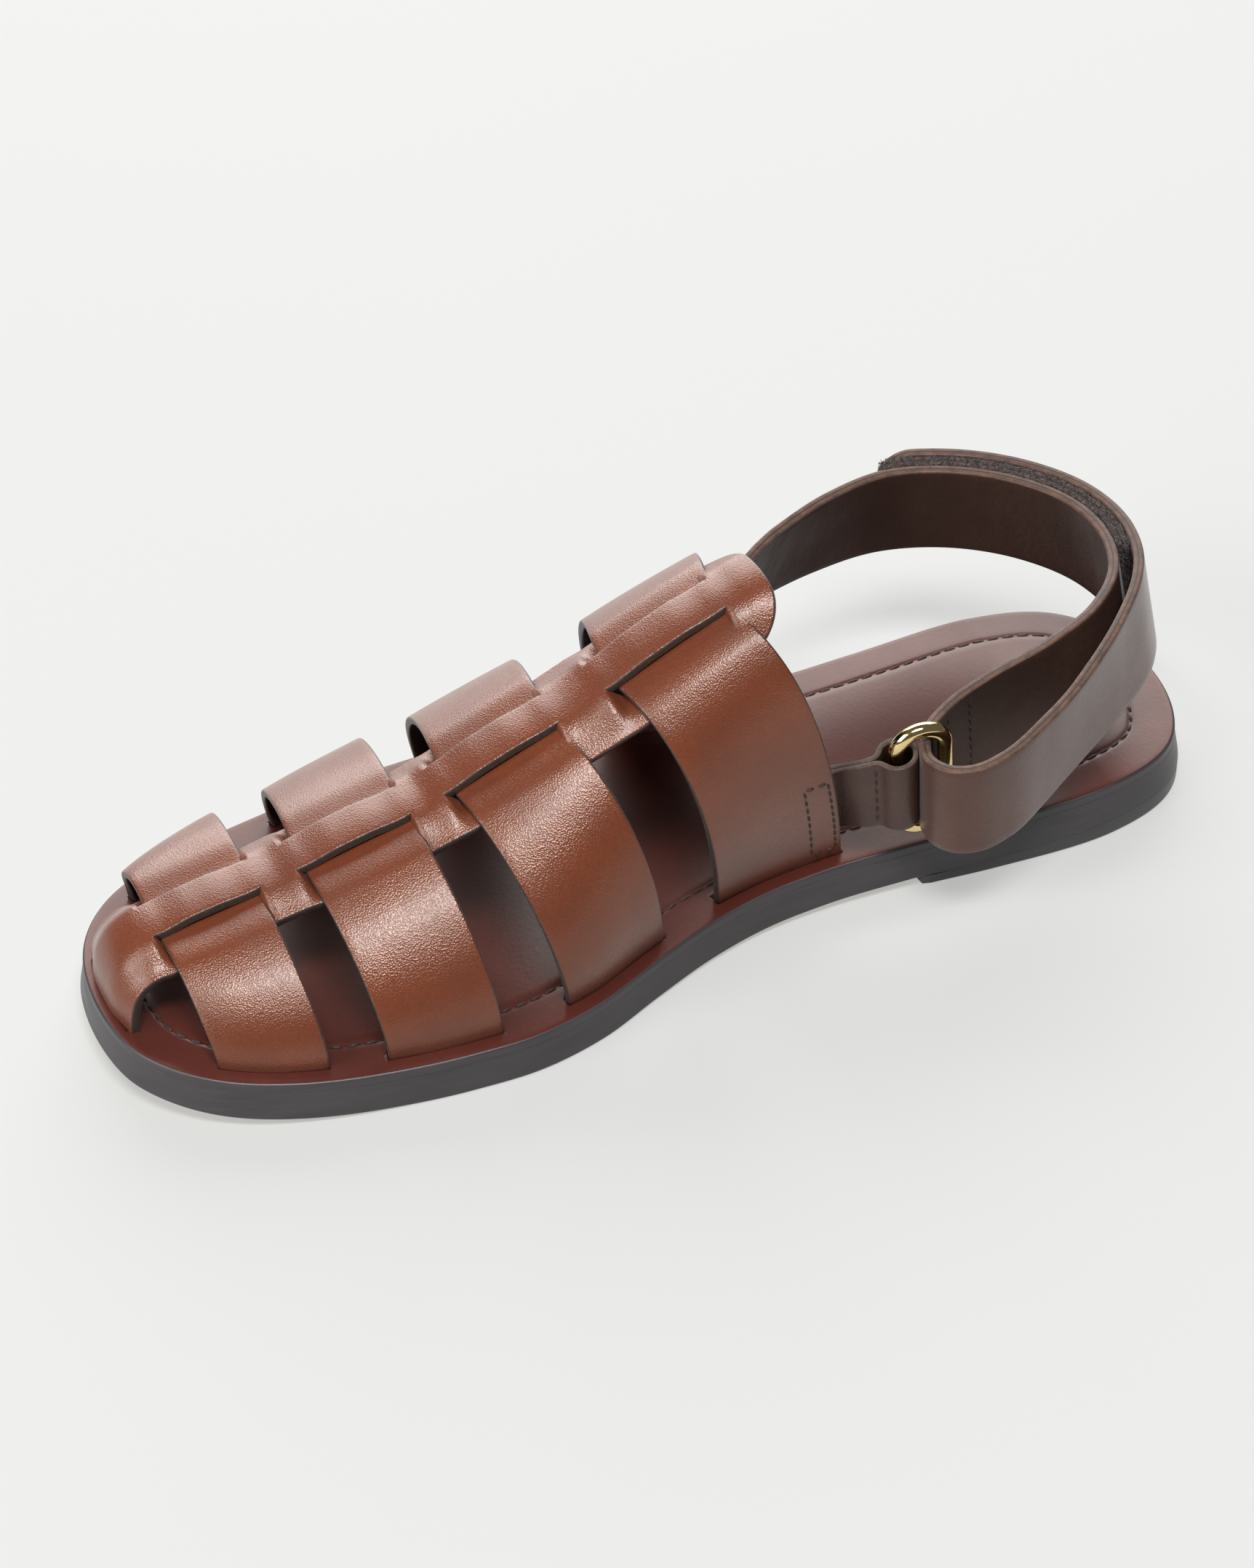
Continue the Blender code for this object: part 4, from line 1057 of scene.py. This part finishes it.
ringLoop = (
    (81.2, 39.6, 33.7, 4.0), (81.8, 44.4, 33.7, 0.0), (79.6, 48.4, 33.7, -3.0),
    (75.0, 50.4, 33.8, -5.0), (68.0, 50.2, 34.8, -6.0), (56.0, 46.0, 37.5, -5.0),
    (42.0, 38.8, 40.5, -2.0), (30.0, 31.6, 43.2, 3.0),
)


def runFrames(rows, spacing):  # even samples: distance, place, up the width, to the left
    rows = np.array(rows, dtype=float)
    chords = runLengths(rows[:, :3])
    count = int(chords[-1] / spacing) + 1
    at = np.linspace(0, chords[-1], count)
    values = curveThrough(chords, rows)(at)
    places, tilts = values[:, :3], np.radians(values[:, 3])
    ways = unit(np.gradient(places, axis=0))
    lefts = unit(np.stack((-ways[:, 1], ways[:, 0], np.zeros(count)), axis=1))
    ups = np.array((0, 0, 1)) * np.cos(tilts)[:, None] + lefts * np.sin(tilts)[:, None]
    near = smooth((places[:, 0] - heel["leanFrom"]) / heel["leanRun"]) * (places[:, 1] > heel["leanSide"])
    ups = unit(ups + near[:, None] * np.array((math.tan(ring["pitch"]), 0.0, 0.0)))
    return at, places, ups, unit(np.cross(ups, ways))


def tuckIn(points, depth):  # moved in behind the outer wall of the instep strap
    side, instep = "lateral", strapRows[-1]
    sign = signOf(side)
    for k, (x, y, z) in enumerate(points):
        if x < spineEdges(instep)[1] - heel["tuckReach"] or y * sign < 0:
            continue
        t = sideAtHeight(x, z, side)
        rear = strapEdgeX(instep, side, t, 1.0) - heel["tuckPast"]
        share = smooth((x - rear + heel["tuckFade"]) / heel["tuckFade"])
        normal = lastNormal(x, t, side)
        inside = sign * lastPoint(x, t, side)[1] - depth / math.hypot(normal[0], normal[1])
        points[k][1] = sign * (sign * y + share * min(0.0, inside - sign * y))
    return points


def innerRows():  # the sewn end, then round the heel to the ring
    sewn = []
    for x in np.linspace(heel["sewnFrom"], heel["sewnTo"], heel["sewnSteps"]):
        t = sideAtHeight(x, heel["sewnHeight"], "lateral")
        normal = lastNormal(x, t, "lateral")
        place = lastPoint(x, t, "lateral") - normal * (sole["seatGap"] + heel["thick"] / 2)
        sewn.append((*place, -math.degrees(math.asin(normal[2]))))
    return np.vstack((sewn, innerRun))


def fastenedRows(out):  # the fastened stretch, moved out from the inner run
    _, places, _, faces = runFrames(innerRows(), heel["fastenStep"])
    start = np.argmin(np.linalg.norm(places[:, :2] - heel["fastenFrom"], axis=1))
    stop = np.argmin(np.linalg.norm(places[:, :2] - heel["fastenTo"], axis=1))
    tilts = np.degrees(np.arcsin(-faces[:, 2]))
    return np.column_stack((places + faces * out, tilts))[start:stop + 1]


def tapeOffsets():  # loop tape, hook tape and return run, out from the inner run
    gap = sole["seatGap"]
    loop = heel["thick"] / 2 + gap + heel["tapeThick"] / 2
    hook = loop + heel["tapeThick"] + gap
    return loop, hook, hook + heel["tapeThick"] / 2 + gap + heel["thick"] / 2


def heelRows():
    back = fastenedRows(tapeOffsets()[2])[::-1]
    back[:, 3] *= -1
    return np.vstack((innerRows(), ringLoop, back))


def ribbonGrid(rows, spacing, wide, rim, columns, corner=0.0):
    at, places, ups, faces = runFrames(rows, spacing)
    halves = np.full(len(at), wide / 2 - rim)
    if corner:
        left = np.clip((at[-1] - at) / corner, 0, 1)
        halves = halves - corner * (1 - np.sqrt(1 - (1 - left) ** 2))
    across = np.linspace(-1, 1, columns)
    middle = places[:, None, :] + ups[:, None, :] * (across[None, :, None] * halves[:, None, None])
    return at, middle, np.repeat(faces[:, None, :], columns, axis=1)


def heelGrid(corner):  # both faces of the strap, row by row
    sizes = [heel[key] for key in ("step", "wide", "rim", "columns")]
    at, middle, faces = ribbonGrid(heelRows(), *sizes, corner)
    half, shape = faces * heel["thick"] / 2, middle.shape
    depth = sole["seatGap"] + heel["tuckSpare"]
    left = tuckIn((middle + half).reshape(-1, 3), depth).reshape(shape)
    right = tuckIn((middle - half).reshape(-1, 3), depth + heel["thick"]).reshape(shape)
    return at, left, right


def turnRow(at, centre):  # the row furthest forward in the ring
    return int(np.argmax(np.where(at > heel["innerFrom"] * at[-1], centre[:, 0], -np.inf)))


def beforeTurn(at, centre, x):  # row of the inner run at this x, on the way to the ring
    inner = (at > heel["innerFrom"] * at[-1]) & (at < at[turnRow(at, centre)])
    return int(np.argmin(np.where(inner, abs(centre[:, 0] - x), np.inf)))


def makeHeelStrap():
    at, left, right = heelGrid(heel["corner"])
    centre = (left + right)[:, heel["columns"] // 2] / 2
    turnAt = at[turnRow(at, centre)]
    tapeTo = at[np.argmin(np.linalg.norm(centre[:, :2] - heel["fastenTo"], axis=1))]
    midway = (at[:-1] + at[1:]) / 2
    leftLined = (midway > tapeTo) & (midway < 2 * turnAt - tapeTo)
    rightLined = midway < at[beforeTurn(at, centre, heel["liningToX"])]
    slots = [np.repeat(lined.astype(int), heel["columns"] - 1) for lined in (leftLined, rightLined)]
    grain, under = left.reshape(-1, 3), right.reshape(-1, 3)
    mesh = leatherSheet("heel_strap_leather", grain, unit(grain - under), gridQuads(*left.shape[:2]),
                        heel["thick"], heel["rim"], [heelLeather, liningLeather], slots)
    addPiece("heel_strap_leather", mesh, "heel_strap")


tape = {
    "rough": 0.2, "step": 0.8, "columns": 24, "rim": 0.3, "seed": 7,
    "fibreDensity": 0.9, "rimDensity": 11.0, "fibreLong": 0.7, "fibreThick": 0.16,
    "fibreTop": 0.2, "fibreFoot": 0.5, "fibreLean": (0.9, 0.9, 3.1), "endRows": 2,
}


def fuzzTree():
    tree, given, made = newTree("tapeFuzz", (
        ("Fibre Density", "Float"), ("Rim Density", "Float"), ("Fibre Length", "Float"),
        ("Fibre Thick", "Float"), ("Seed", "Int"), ("Tape", "Material"),
    ))
    scatter = addNode(tree, "GeometryNodeDistributePointsOnFaces", distribute_method="RANDOM")
    atRim = addNode(tree, "GeometryNodeInputNamedAttribute", data_type="FLOAT", Name="edge")
    denser = addNode(tree, "ShaderNodeMath", operation="MULTIPLY_ADD")
    fibre = addNode(tree, "GeometryNodeMeshCone", Vertices=3, Depth=1.0)
    setSockets(fibre, {"Radius Top": tape["fibreTop"], "Radius Bottom": tape["fibreFoot"]})
    size = addNode(tree, "ShaderNodeCombineXYZ")
    lean = addNode(tree, "FunctionNodeRandomValue", data_type="FLOAT_VECTOR")
    setSockets(lean, {0: tuple(-angle for angle in tape["fibreLean"]), 1: tape["fibreLean"]})
    asTurn = addNode(tree, "FunctionNodeEulerToRotation")
    turned = addNode(tree, "FunctionNodeRotateRotation", rotation_space="LOCAL")
    copies = addNode(tree, "GeometryNodeInstanceOnPoints")
    wire(tree, (
        (given, "Geometry", scatter, "Mesh"), (atRim, "Attribute", denser, 0),
        (given, "Rim Density", denser, 1), (given, "Fibre Density", denser, 2),
        (denser, 0, scatter, "Density"), (given, "Seed", scatter, "Seed"), (given, "Seed", lean, "Seed"),
        (lean, 0, asTurn, "Euler"), (scatter, "Rotation", turned, "Rotation"),
        (asTurn, "Rotation", turned, "Rotate By"), (given, "Fibre Thick", size, "X"),
        (given, "Fibre Thick", size, "Y"), (given, "Fibre Length", size, "Z"),
        (scatter, "Points", copies, "Points"), (fibre, "Mesh", copies, "Instance"),
        (turned, "Rotation", copies, "Rotation"), (size, "Vector", copies, "Scale"),
    ))
    paintCopies(tree, copies, given.outputs["Tape"], made)
    return tree


fuzzNodes = fuzzTree()


def makeTape(name, out):
    rows = fastenedRows(out)[:-tape["endRows"]]
    _, middle, faces = ribbonGrid(rows, tape["step"], heel["tapeWide"], tape["rim"], tape["columns"])
    rng = np.random.default_rng(tape["seed"])
    shake = rng.uniform(-1, 1, middle.shape[:2])[..., None] * tape["rough"]
    grain = (middle + faces * (heel["tapeThick"] / 2 + shake)).reshape(-1, 3)
    quads = gridQuads(*middle.shape[:2])
    mesh = leatherSheet(name, grain, faces.reshape(-1, 3), quads, heel["tapeThick"], tape["rim"], [tapeFuzz])
    addPiece(name + "_tape", mesh, name)
    fuzz = nodeMesh(name + "_fuzz", mesh.copy(), fuzzNodes, {
        "Fibre Density": tape["fibreDensity"] / mm ** 2, "Rim Density": tape["rimDensity"] / mm ** 2,
        "Fibre Length": tape["fibreLong"] * mm, "Fibre Thick": tape["fibreThick"] * mm,
        "Seed": tape["seed"], "Tape": tapeFuzz,
    })
    addPiece(name + "_fuzz", fuzz, None)


makeHeelStrap()
for patch, offset in zip(("loop_patch", "hook_patch"), tapeOffsets()):
    makeTape(patch, offset)
print("heel strap made")


# Ring and its folded tab
tab = {
    "wide": 20.0, "leaf": 1.3, "rim": 0.4, "height": 27.8, "upright": 0.96, "fromX": 112.0, "toX": 97.0,
    "past": 0.6, "clear": 0.3, "edgeTries": 4, "wallRows": 4, "reach": 2.0,
    "columns": 17, "rows": 46, "eyeSteps": 40,
    "bend": 4.0, "eyeBack": 0.3, "softRows": 5.0, "softTimes": 10, "softShare": 0.5, "stitchRows": 3,
}


def ringAxes():
    up = unit(np.array((math.tan(ring["pitch"]), math.tan(ring["lean"]), 1.0)))
    back = np.array((-math.cos(ring["turn"]), math.sin(ring["turn"]), 0.0))
    back = unit(back - up * (back @ up))
    return up, back, np.cross(back, up)


def makeRing():
    up, back, face = ringAxes()
    bend = (ring["wide"] - ring["wire"]) / 2
    straight = (ring["high"] - ring["wide"]) / 2
    turns = np.linspace(0, math.pi, ring["bendSteps"])
    half = [(math.cos(a) * bend, straight + math.sin(a) * bend) for a in turns]
    half += [(-bend, q) for q in np.linspace(straight, -straight, ring["straightSteps"])[1:-1]]
    path = np.array(half + [(-p, -q) for p, q in half])
    ways = unit(np.roll(path, -1, axis=0) - np.roll(path, 1, axis=0))
    sides, count = ring["sides"], len(path)
    points = []
    for (p, q), (dp, dq) in zip(path, ways):
        outward = back * dq - up * dp
        centre = ring["centre"] + back * p + up * q
        for k in range(sides):
            angle = 2 * math.pi * k / sides
            way = outward * math.cos(angle) + face * math.sin(angle)
            points.append(centre + way * ring["visibleWire"] / 2)
    faces = []
    for i in range(count):
        for k in range(sides):
            j, m = (i + 1) % count, (k + 1) % sides
            faces.append((i * sides + k, i * sides + m, j * sides + m, j * sides + k))
    mesh = facedOut(newMesh("ring_wire", np.array(points), faces, [ringGold]))
    addPiece("ring_wire", mesh, "ring")


def behindStrap(height):  # way along the inside of the instep strap, to just past its rear edge
    instep, edge = strapRows[-1], tab["toX"]
    for _ in range(tab["edgeTries"]):  # the strap's edge slants, so its place is found in a few steps
        edge = strapEdgeX(instep, "medial", sideAtHeight(edge, height, "medial"), 1.0)
    rows = []
    for x in np.linspace(tab["fromX"], edge - tab["past"], tab["wallRows"]):
        t = sideAtHeight(x, height, "medial")
        rows.append(lastPoint(x, t, "medial") - lastNormal(x, t, "medial") * (tab["leaf"] + tab["clear"]))
    return rows


def tabGrid():  # outer leaf, round the bar, inner leaf
    up, back, face = ringAxes()
    leaf, bend = tab["leaf"], tab["bend"]
    eye = ring["centre"] - back * ((ring["wide"] - ring["wire"]) / 2 - tab["eyeBack"])
    start = math.pi - math.asin(leaf / 2 / bend)
    reach = eye + back * math.cos(start) * bend
    across = np.linspace(-1, 1, tab["columns"]) * (tab["wide"] / 2 - tab["rim"])
    flat = []
    for a in across:
        fold = [reach + up * a - back * tab["reach"], reach + up * a]
        rows = np.array(behindStrap(tab["height"] + a * tab["upright"]) + fold)
        chords = runLengths(rows)
        flat.append(curveThrough(chords, rows)(np.linspace(0, chords[-1], tab["rows"])))
    flat = np.array(flat).transpose(1, 0, 2)
    outward = unit(np.cross(np.gradient(flat, axis=0), np.gradient(flat, axis=1)))
    outward = outward * np.sign(outward[:, :, 1:2])
    turns = np.linspace(start, -start, tab["eyeSteps"])[1:-1]
    ways = np.array([back * math.cos(turn) + face * math.sin(turn) for turn in turns])
    around = eye + ways[:, None, :] * bend + across[None, :, None] * up
    line = np.vstack((flat + outward * leaf / 2, around, (flat - outward * leaf / 2)[::-1]))
    half, near = len(flat), np.zeros(len(line))
    for joint in (half, half + len(around)):
        near = np.maximum(near, smooth(1 - abs(np.arange(len(line)) - joint) / tab["softRows"]))
    for _ in range(tab["softTimes"]):  # eases the crease where the fold begins
        middle = (np.roll(line, 1, axis=0) + np.roll(line, -1, axis=0)) / 2
        line = line + (middle - line) * tab["softShare"] * near[:, None, None]
    grain = unit(np.cross(np.gradient(line, axis=0), np.gradient(line, axis=1)))
    grain = grain * np.sign(grain[0, 0, 1])
    return line + grain * leaf / 2, line - grain * leaf / 2, half


def makeTab():
    outer, inner, _ = tabGrid()
    grain, under = outer.reshape(-1, 3), inner.reshape(-1, 3)
    mesh = leatherSheet("ring_tab_leather", grain, unit(grain - under), gridQuads(*outer.shape[:2]),
                        tab["leaf"], tab["rim"], [tabLeather])
    addPiece("ring_tab_leather", mesh, "ring_tab")


makeRing()
makeTab()
print("ring and tab made")


# Stitches
fineStitch = {"length": 1.9, "gap": 0.55, "thick": 0.6, "wobble": 0.10, "seed": 11, "proud": 0.05}
footbedStitch = dict(fineStitch, length=2.9, gap=0.7, thick=0.8, proud=0.0, wobble=0.14)


def stitchTree():
    tree, given, made = newTree("stitchRow", (
        ("Stitch Length", "Float"), ("Thread Thick", "Float"), ("Wobble", "Float"),
        ("Seed", "Int"), ("Thread", "Material"),
    ))
    way, out = (addNode(tree, "GeometryNodeInputNamedAttribute", data_type="FLOAT_VECTOR", Name=name)
                for name in ("way", "out"))
    along = addNode(tree, "FunctionNodeAlignRotationToVector", axis="X")
    upright = addNode(tree, "FunctionNodeAlignRotationToVector", axis="Z", pivot_axis="X")
    chance = addNode(tree, "FunctionNodeRandomValue", data_type="FLOAT")
    negative = addNode(tree, "ShaderNodeMath", operation="MULTIPLY")
    negative.inputs[1].default_value = -1.0
    slant = addNode(tree, "FunctionNodeAxisAngleToRotation", Axis=(0, 0, 1))
    turned = addNode(tree, "FunctionNodeRotateRotation", rotation_space="LOCAL")
    bead = addNode(tree, "GeometryNodeMeshUVSphere", Segments=8, Rings=6, Radius=0.5)
    size = addNode(tree, "ShaderNodeCombineXYZ")
    copies = addNode(tree, "GeometryNodeInstanceOnPoints")
    wire(tree, (
        (way, "Attribute", along, "Vector"), (along, "Rotation", upright, "Rotation"),
        (out, "Attribute", upright, "Vector"), (given, "Wobble", negative, 0),
        (negative, 0, chance, 2), (given, "Wobble", chance, 3), (given, "Seed", chance, "Seed"),
        (chance, 1, slant, "Angle"), (upright, "Rotation", turned, "Rotation"),
        (slant, "Rotation", turned, "Rotate By"), (given, "Stitch Length", size, "X"),
        (given, "Thread Thick", size, "Y"), (given, "Thread Thick", size, "Z"),
        (given, "Geometry", copies, "Points"), (bead, "Mesh", copies, "Instance"),
        (turned, "Rotation", copies, "Rotation"), (size, "Vector", copies, "Scale"),
    ))
    paintCopies(tree, copies, given.outputs["Thread"], made, ("GeometryNodeSetShadeSmooth",))
    return tree


stitchNodes = stitchTree()


def stitchPlaces(points, normals, pitch):  # stitches along a line on a face: middle, way and outward
    points, normals = np.asarray(points), np.asarray(normals)
    lengths = runLengths(points)
    count = max(int(lengths[-1] / pitch), 1)
    at = (np.arange(count) + 0.5) * lengths[-1] / count

    def along(values, where):
        return np.stack([np.interp(where, lengths, values[:, i]) for i in range(3)], axis=1)

    near = 0.3  # reach to either side that gives the line's direction
    ways = unit(along(points, at + near) - along(points, at - near))
    return along(points, at), ways, unit(along(normals, at))


def makeStitches(name, lines, look):
    middles, ways, outs = [], [], []
    for points, normals in lines:
        place, way, out = stitchPlaces(points, normals, look["length"] + look["gap"])
        middles.append(place + out * look["proud"])
        ways.append(way)
        outs.append(out)
    mesh = bpy.data.meshes.new(name)
    mesh.from_pydata(toFrame(np.vstack(middles)).tolist(), [], [])
    for key, values in (("way", ways), ("out", outs)):
        layer = mesh.attributes.new(key, "FLOAT_VECTOR", "POINT")
        layer.data.foreach_set("vector", np.vstack(values).astype(np.float32).ravel())
    stitched = nodeMesh(name, mesh, stitchNodes, {
        "Stitch Length": look["length"] * mm, "Thread Thick": look["thick"] * mm,
        "Wobble": look["wobble"], "Seed": look["seed"], "Thread": darkThread,
    })
    addPiece(name, stitched, None)


def footbedStitchLine():
    loop = outlineLoop(footbed["stitchSteps"])
    plan = loop - outwardOf(loop) * footbed["stitchInset"]
    plan = np.vstack((plan, plan[:1]))
    points = level(plan, footbedHeight(plan, footbed["stitchInset"]))
    return points, np.tile((0.0, 0.0, 1.0), (len(points), 1))


boxes = {  # for each side: low, high and width
    "medial": (14.2, 38.0, 4.6), "lateral": (31.0, 59.0, 7.2),
    "fromEdge": 1.25, "lineSteps": 200, "barSteps": 12,
}


def strapBox(side):  # stitched box near the rear edge of the instep strap
    instep = strapRows[-1]
    low, high, wide = boxes[side]
    lines = []
    front, rear = spineEdges(instep)
    for inset in (boxes["fromEdge"], boxes["fromEdge"] + wide):
        v = 1 - inset / (front - rear)
        points, normals = strapFace(instep, side, v, lambda total: np.linspace(0, total, boxes["lineSteps"]))
        inside = (points[:, 2] > low) & (points[:, 2] < high)
        lines.append((points[inside], normals[inside]))
    uprights = lines[:]
    for end in (0, -1):
        ends = [np.array([line[i][end] for line in uprights]) for i in (0, 1)]
        share = np.linspace(0, 1, boxes["barSteps"])[:, None]
        bar = [e[0] + (e[1] - e[0]) * share for e in ends]
        lines.append((bar[0], unit(bar[1])))
    return lines


def heelStitchLines():
    at, left, right = heelGrid(0.0)
    columns = heel["columns"]
    centre = (left + right)[:, columns // 2] / 2
    outs = unit(left - right)
    lines = []
    for x in heel["stitchRowsX"]:  # rows across, near the ring
        row = beforeTurn(at, centre, x)
        lines.append((left[row, 1:-1], outs[row, 1:-1]))
        lines.append((right[row, 1:-1], -outs[row, 1:-1]))
    sewn = np.where((at > at[-1] - heel["sewnLength"]) & (at < at[-1] - heel["sewnEnd"]))[0]
    inset = heel["sewnColumn"]
    for column in (inset, columns - 1 - inset):  # along both sides of the fastened end
        lines.append((right[sewn, column], -outs[sewn, column]))
    for row in (sewn[0], sewn[-1]):
        lines.append((right[row, inset:columns - inset], -outs[row, inset:columns - inset]))
    return lines


def tabStitchLines():
    outer, inner, half = tabGrid()
    outs = unit(outer - inner)
    back = tab["stitchRows"]
    lines = []
    for row in (half - back, len(outer) - 1 - half + back):  # rows by the fold, on both leaves
        lines.append((outer[row, 1:-1], outs[row, 1:-1]))
    return lines


makeStitches("footbed_stitches", [footbedStitchLine()], footbedStitch)
makeStitches("strap_box_stitches", strapBox("medial") + strapBox("lateral"), fineStitch)
makeStitches("heel_strap_stitches", heelStitchLines(), fineStitch)
makeStitches("tab_stitches", tabStitchLines(), fineStitch)
print("stitches sewn")


# Floor, light and camera
studio = {
    "floorColour": (0.22, 0.2215, 0.2165), "floorGlow": 1.9, "floorShade": 0.99, "floorReach": 6.0,
    "floorRough": 0.7, "floorSpecular": 0.2, "floorCloud": 2.0,
    "world": (1.0, 1.0, 1.0), "worldStrength": 0.12, "lightTarget": (0.0, 0.0, 0.03),
}
softboxes = (  # name, place, size and power
    ("keySoftbox", (0.36, 1.12, 2.45), (1.3, 0.6), 78.0),
    ("rearSoftbox", (-0.9, -2.2, 1.3), (3.0, 2.3), 104.0),
    ("toeSoftbox", (2.2, 0.3, 1.3), (1.5, 1.5), 48.0),
)
camera = {
    "place": (0.24006, 0.52735, 0.48832), "towards": (-0.31727, -0.71309, -0.62518),
    "up": (-0.27662, -0.56098, 0.78024), "lens": 78.65, "sensor": 36.0, "clip": (0.01, 30.0),
}


def makeFloor():
    mesh = bpy.data.meshes.new("floor")
    reach = studio["floorReach"]
    corners = [(-reach, -reach, 0), (reach, -reach, 0), (reach, reach, 0), (-reach, reach, 0)]
    mesh.from_pydata(corners, [], [(0, 1, 2, 3)])
    material, tree, shader = newShader("paleFloor")
    cloud = objectNoise(tree, studio["floorCloud"], 2.0)
    pale = studio["floorColour"]
    shade = tuple(part * studio["floorShade"] for part in pale)
    tone = mixColour(tree, spread(tree, cloud, 0, 1), pale, shade)
    tree.links.new(tone, shader.inputs["Base Color"])
    tree.links.new(tone, shader.inputs["Emission Color"])
    setSockets(shader, {
        "Roughness": studio["floorRough"], "Specular IOR Level": studio["floorSpecular"],
        "Emission Strength": studio["floorGlow"],
    })
    mesh.materials.append(material)
    floor = linked("floor", mesh)


def addLight(name, place, size, power):
    light = bpy.data.lights.new(name, "AREA")
    light.shape = "RECTANGLE"
    light.size, light.size_y = size
    light.energy = power
    lamp = linked(name, light)
    lamp.location = place
    towards = Vector(studio["lightTarget"]) - Vector(place)
    lamp.rotation_euler = towards.to_track_quat("-Z", "Y").to_euler()


def makeStudio():
    bpy.context.scene.view_settings.view_transform = "Standard"
    world = bpy.data.worlds.new("studioWorld")
    bpy.context.scene.world = world
    world.use_nodes = True
    sky = world.node_tree.nodes["Background"]
    setSockets(sky, {"Color": (*studio["world"], 1.0), "Strength": studio["worldStrength"]})
    for softbox in softboxes:
        addLight(*softbox)


def makeCamera():
    data = bpy.data.cameras.new("photoCamera")
    data.lens = camera["lens"]
    data.sensor_width = camera["sensor"]
    data.clip_start, data.clip_end = camera["clip"]
    eye = linked("photoCamera", data)
    back = -Vector(camera["towards"]).normalized()
    right = Vector(camera["up"]).cross(back).normalized()
    up = back.cross(right)
    turn = Matrix((right, up, back)).transposed().to_4x4()
    eye.matrix_world = Matrix.Translation(Vector(camera["place"])) @ turn
    bpy.context.scene.camera = eye


makeFloor()
makeStudio()
makeCamera()
print("studio ready")
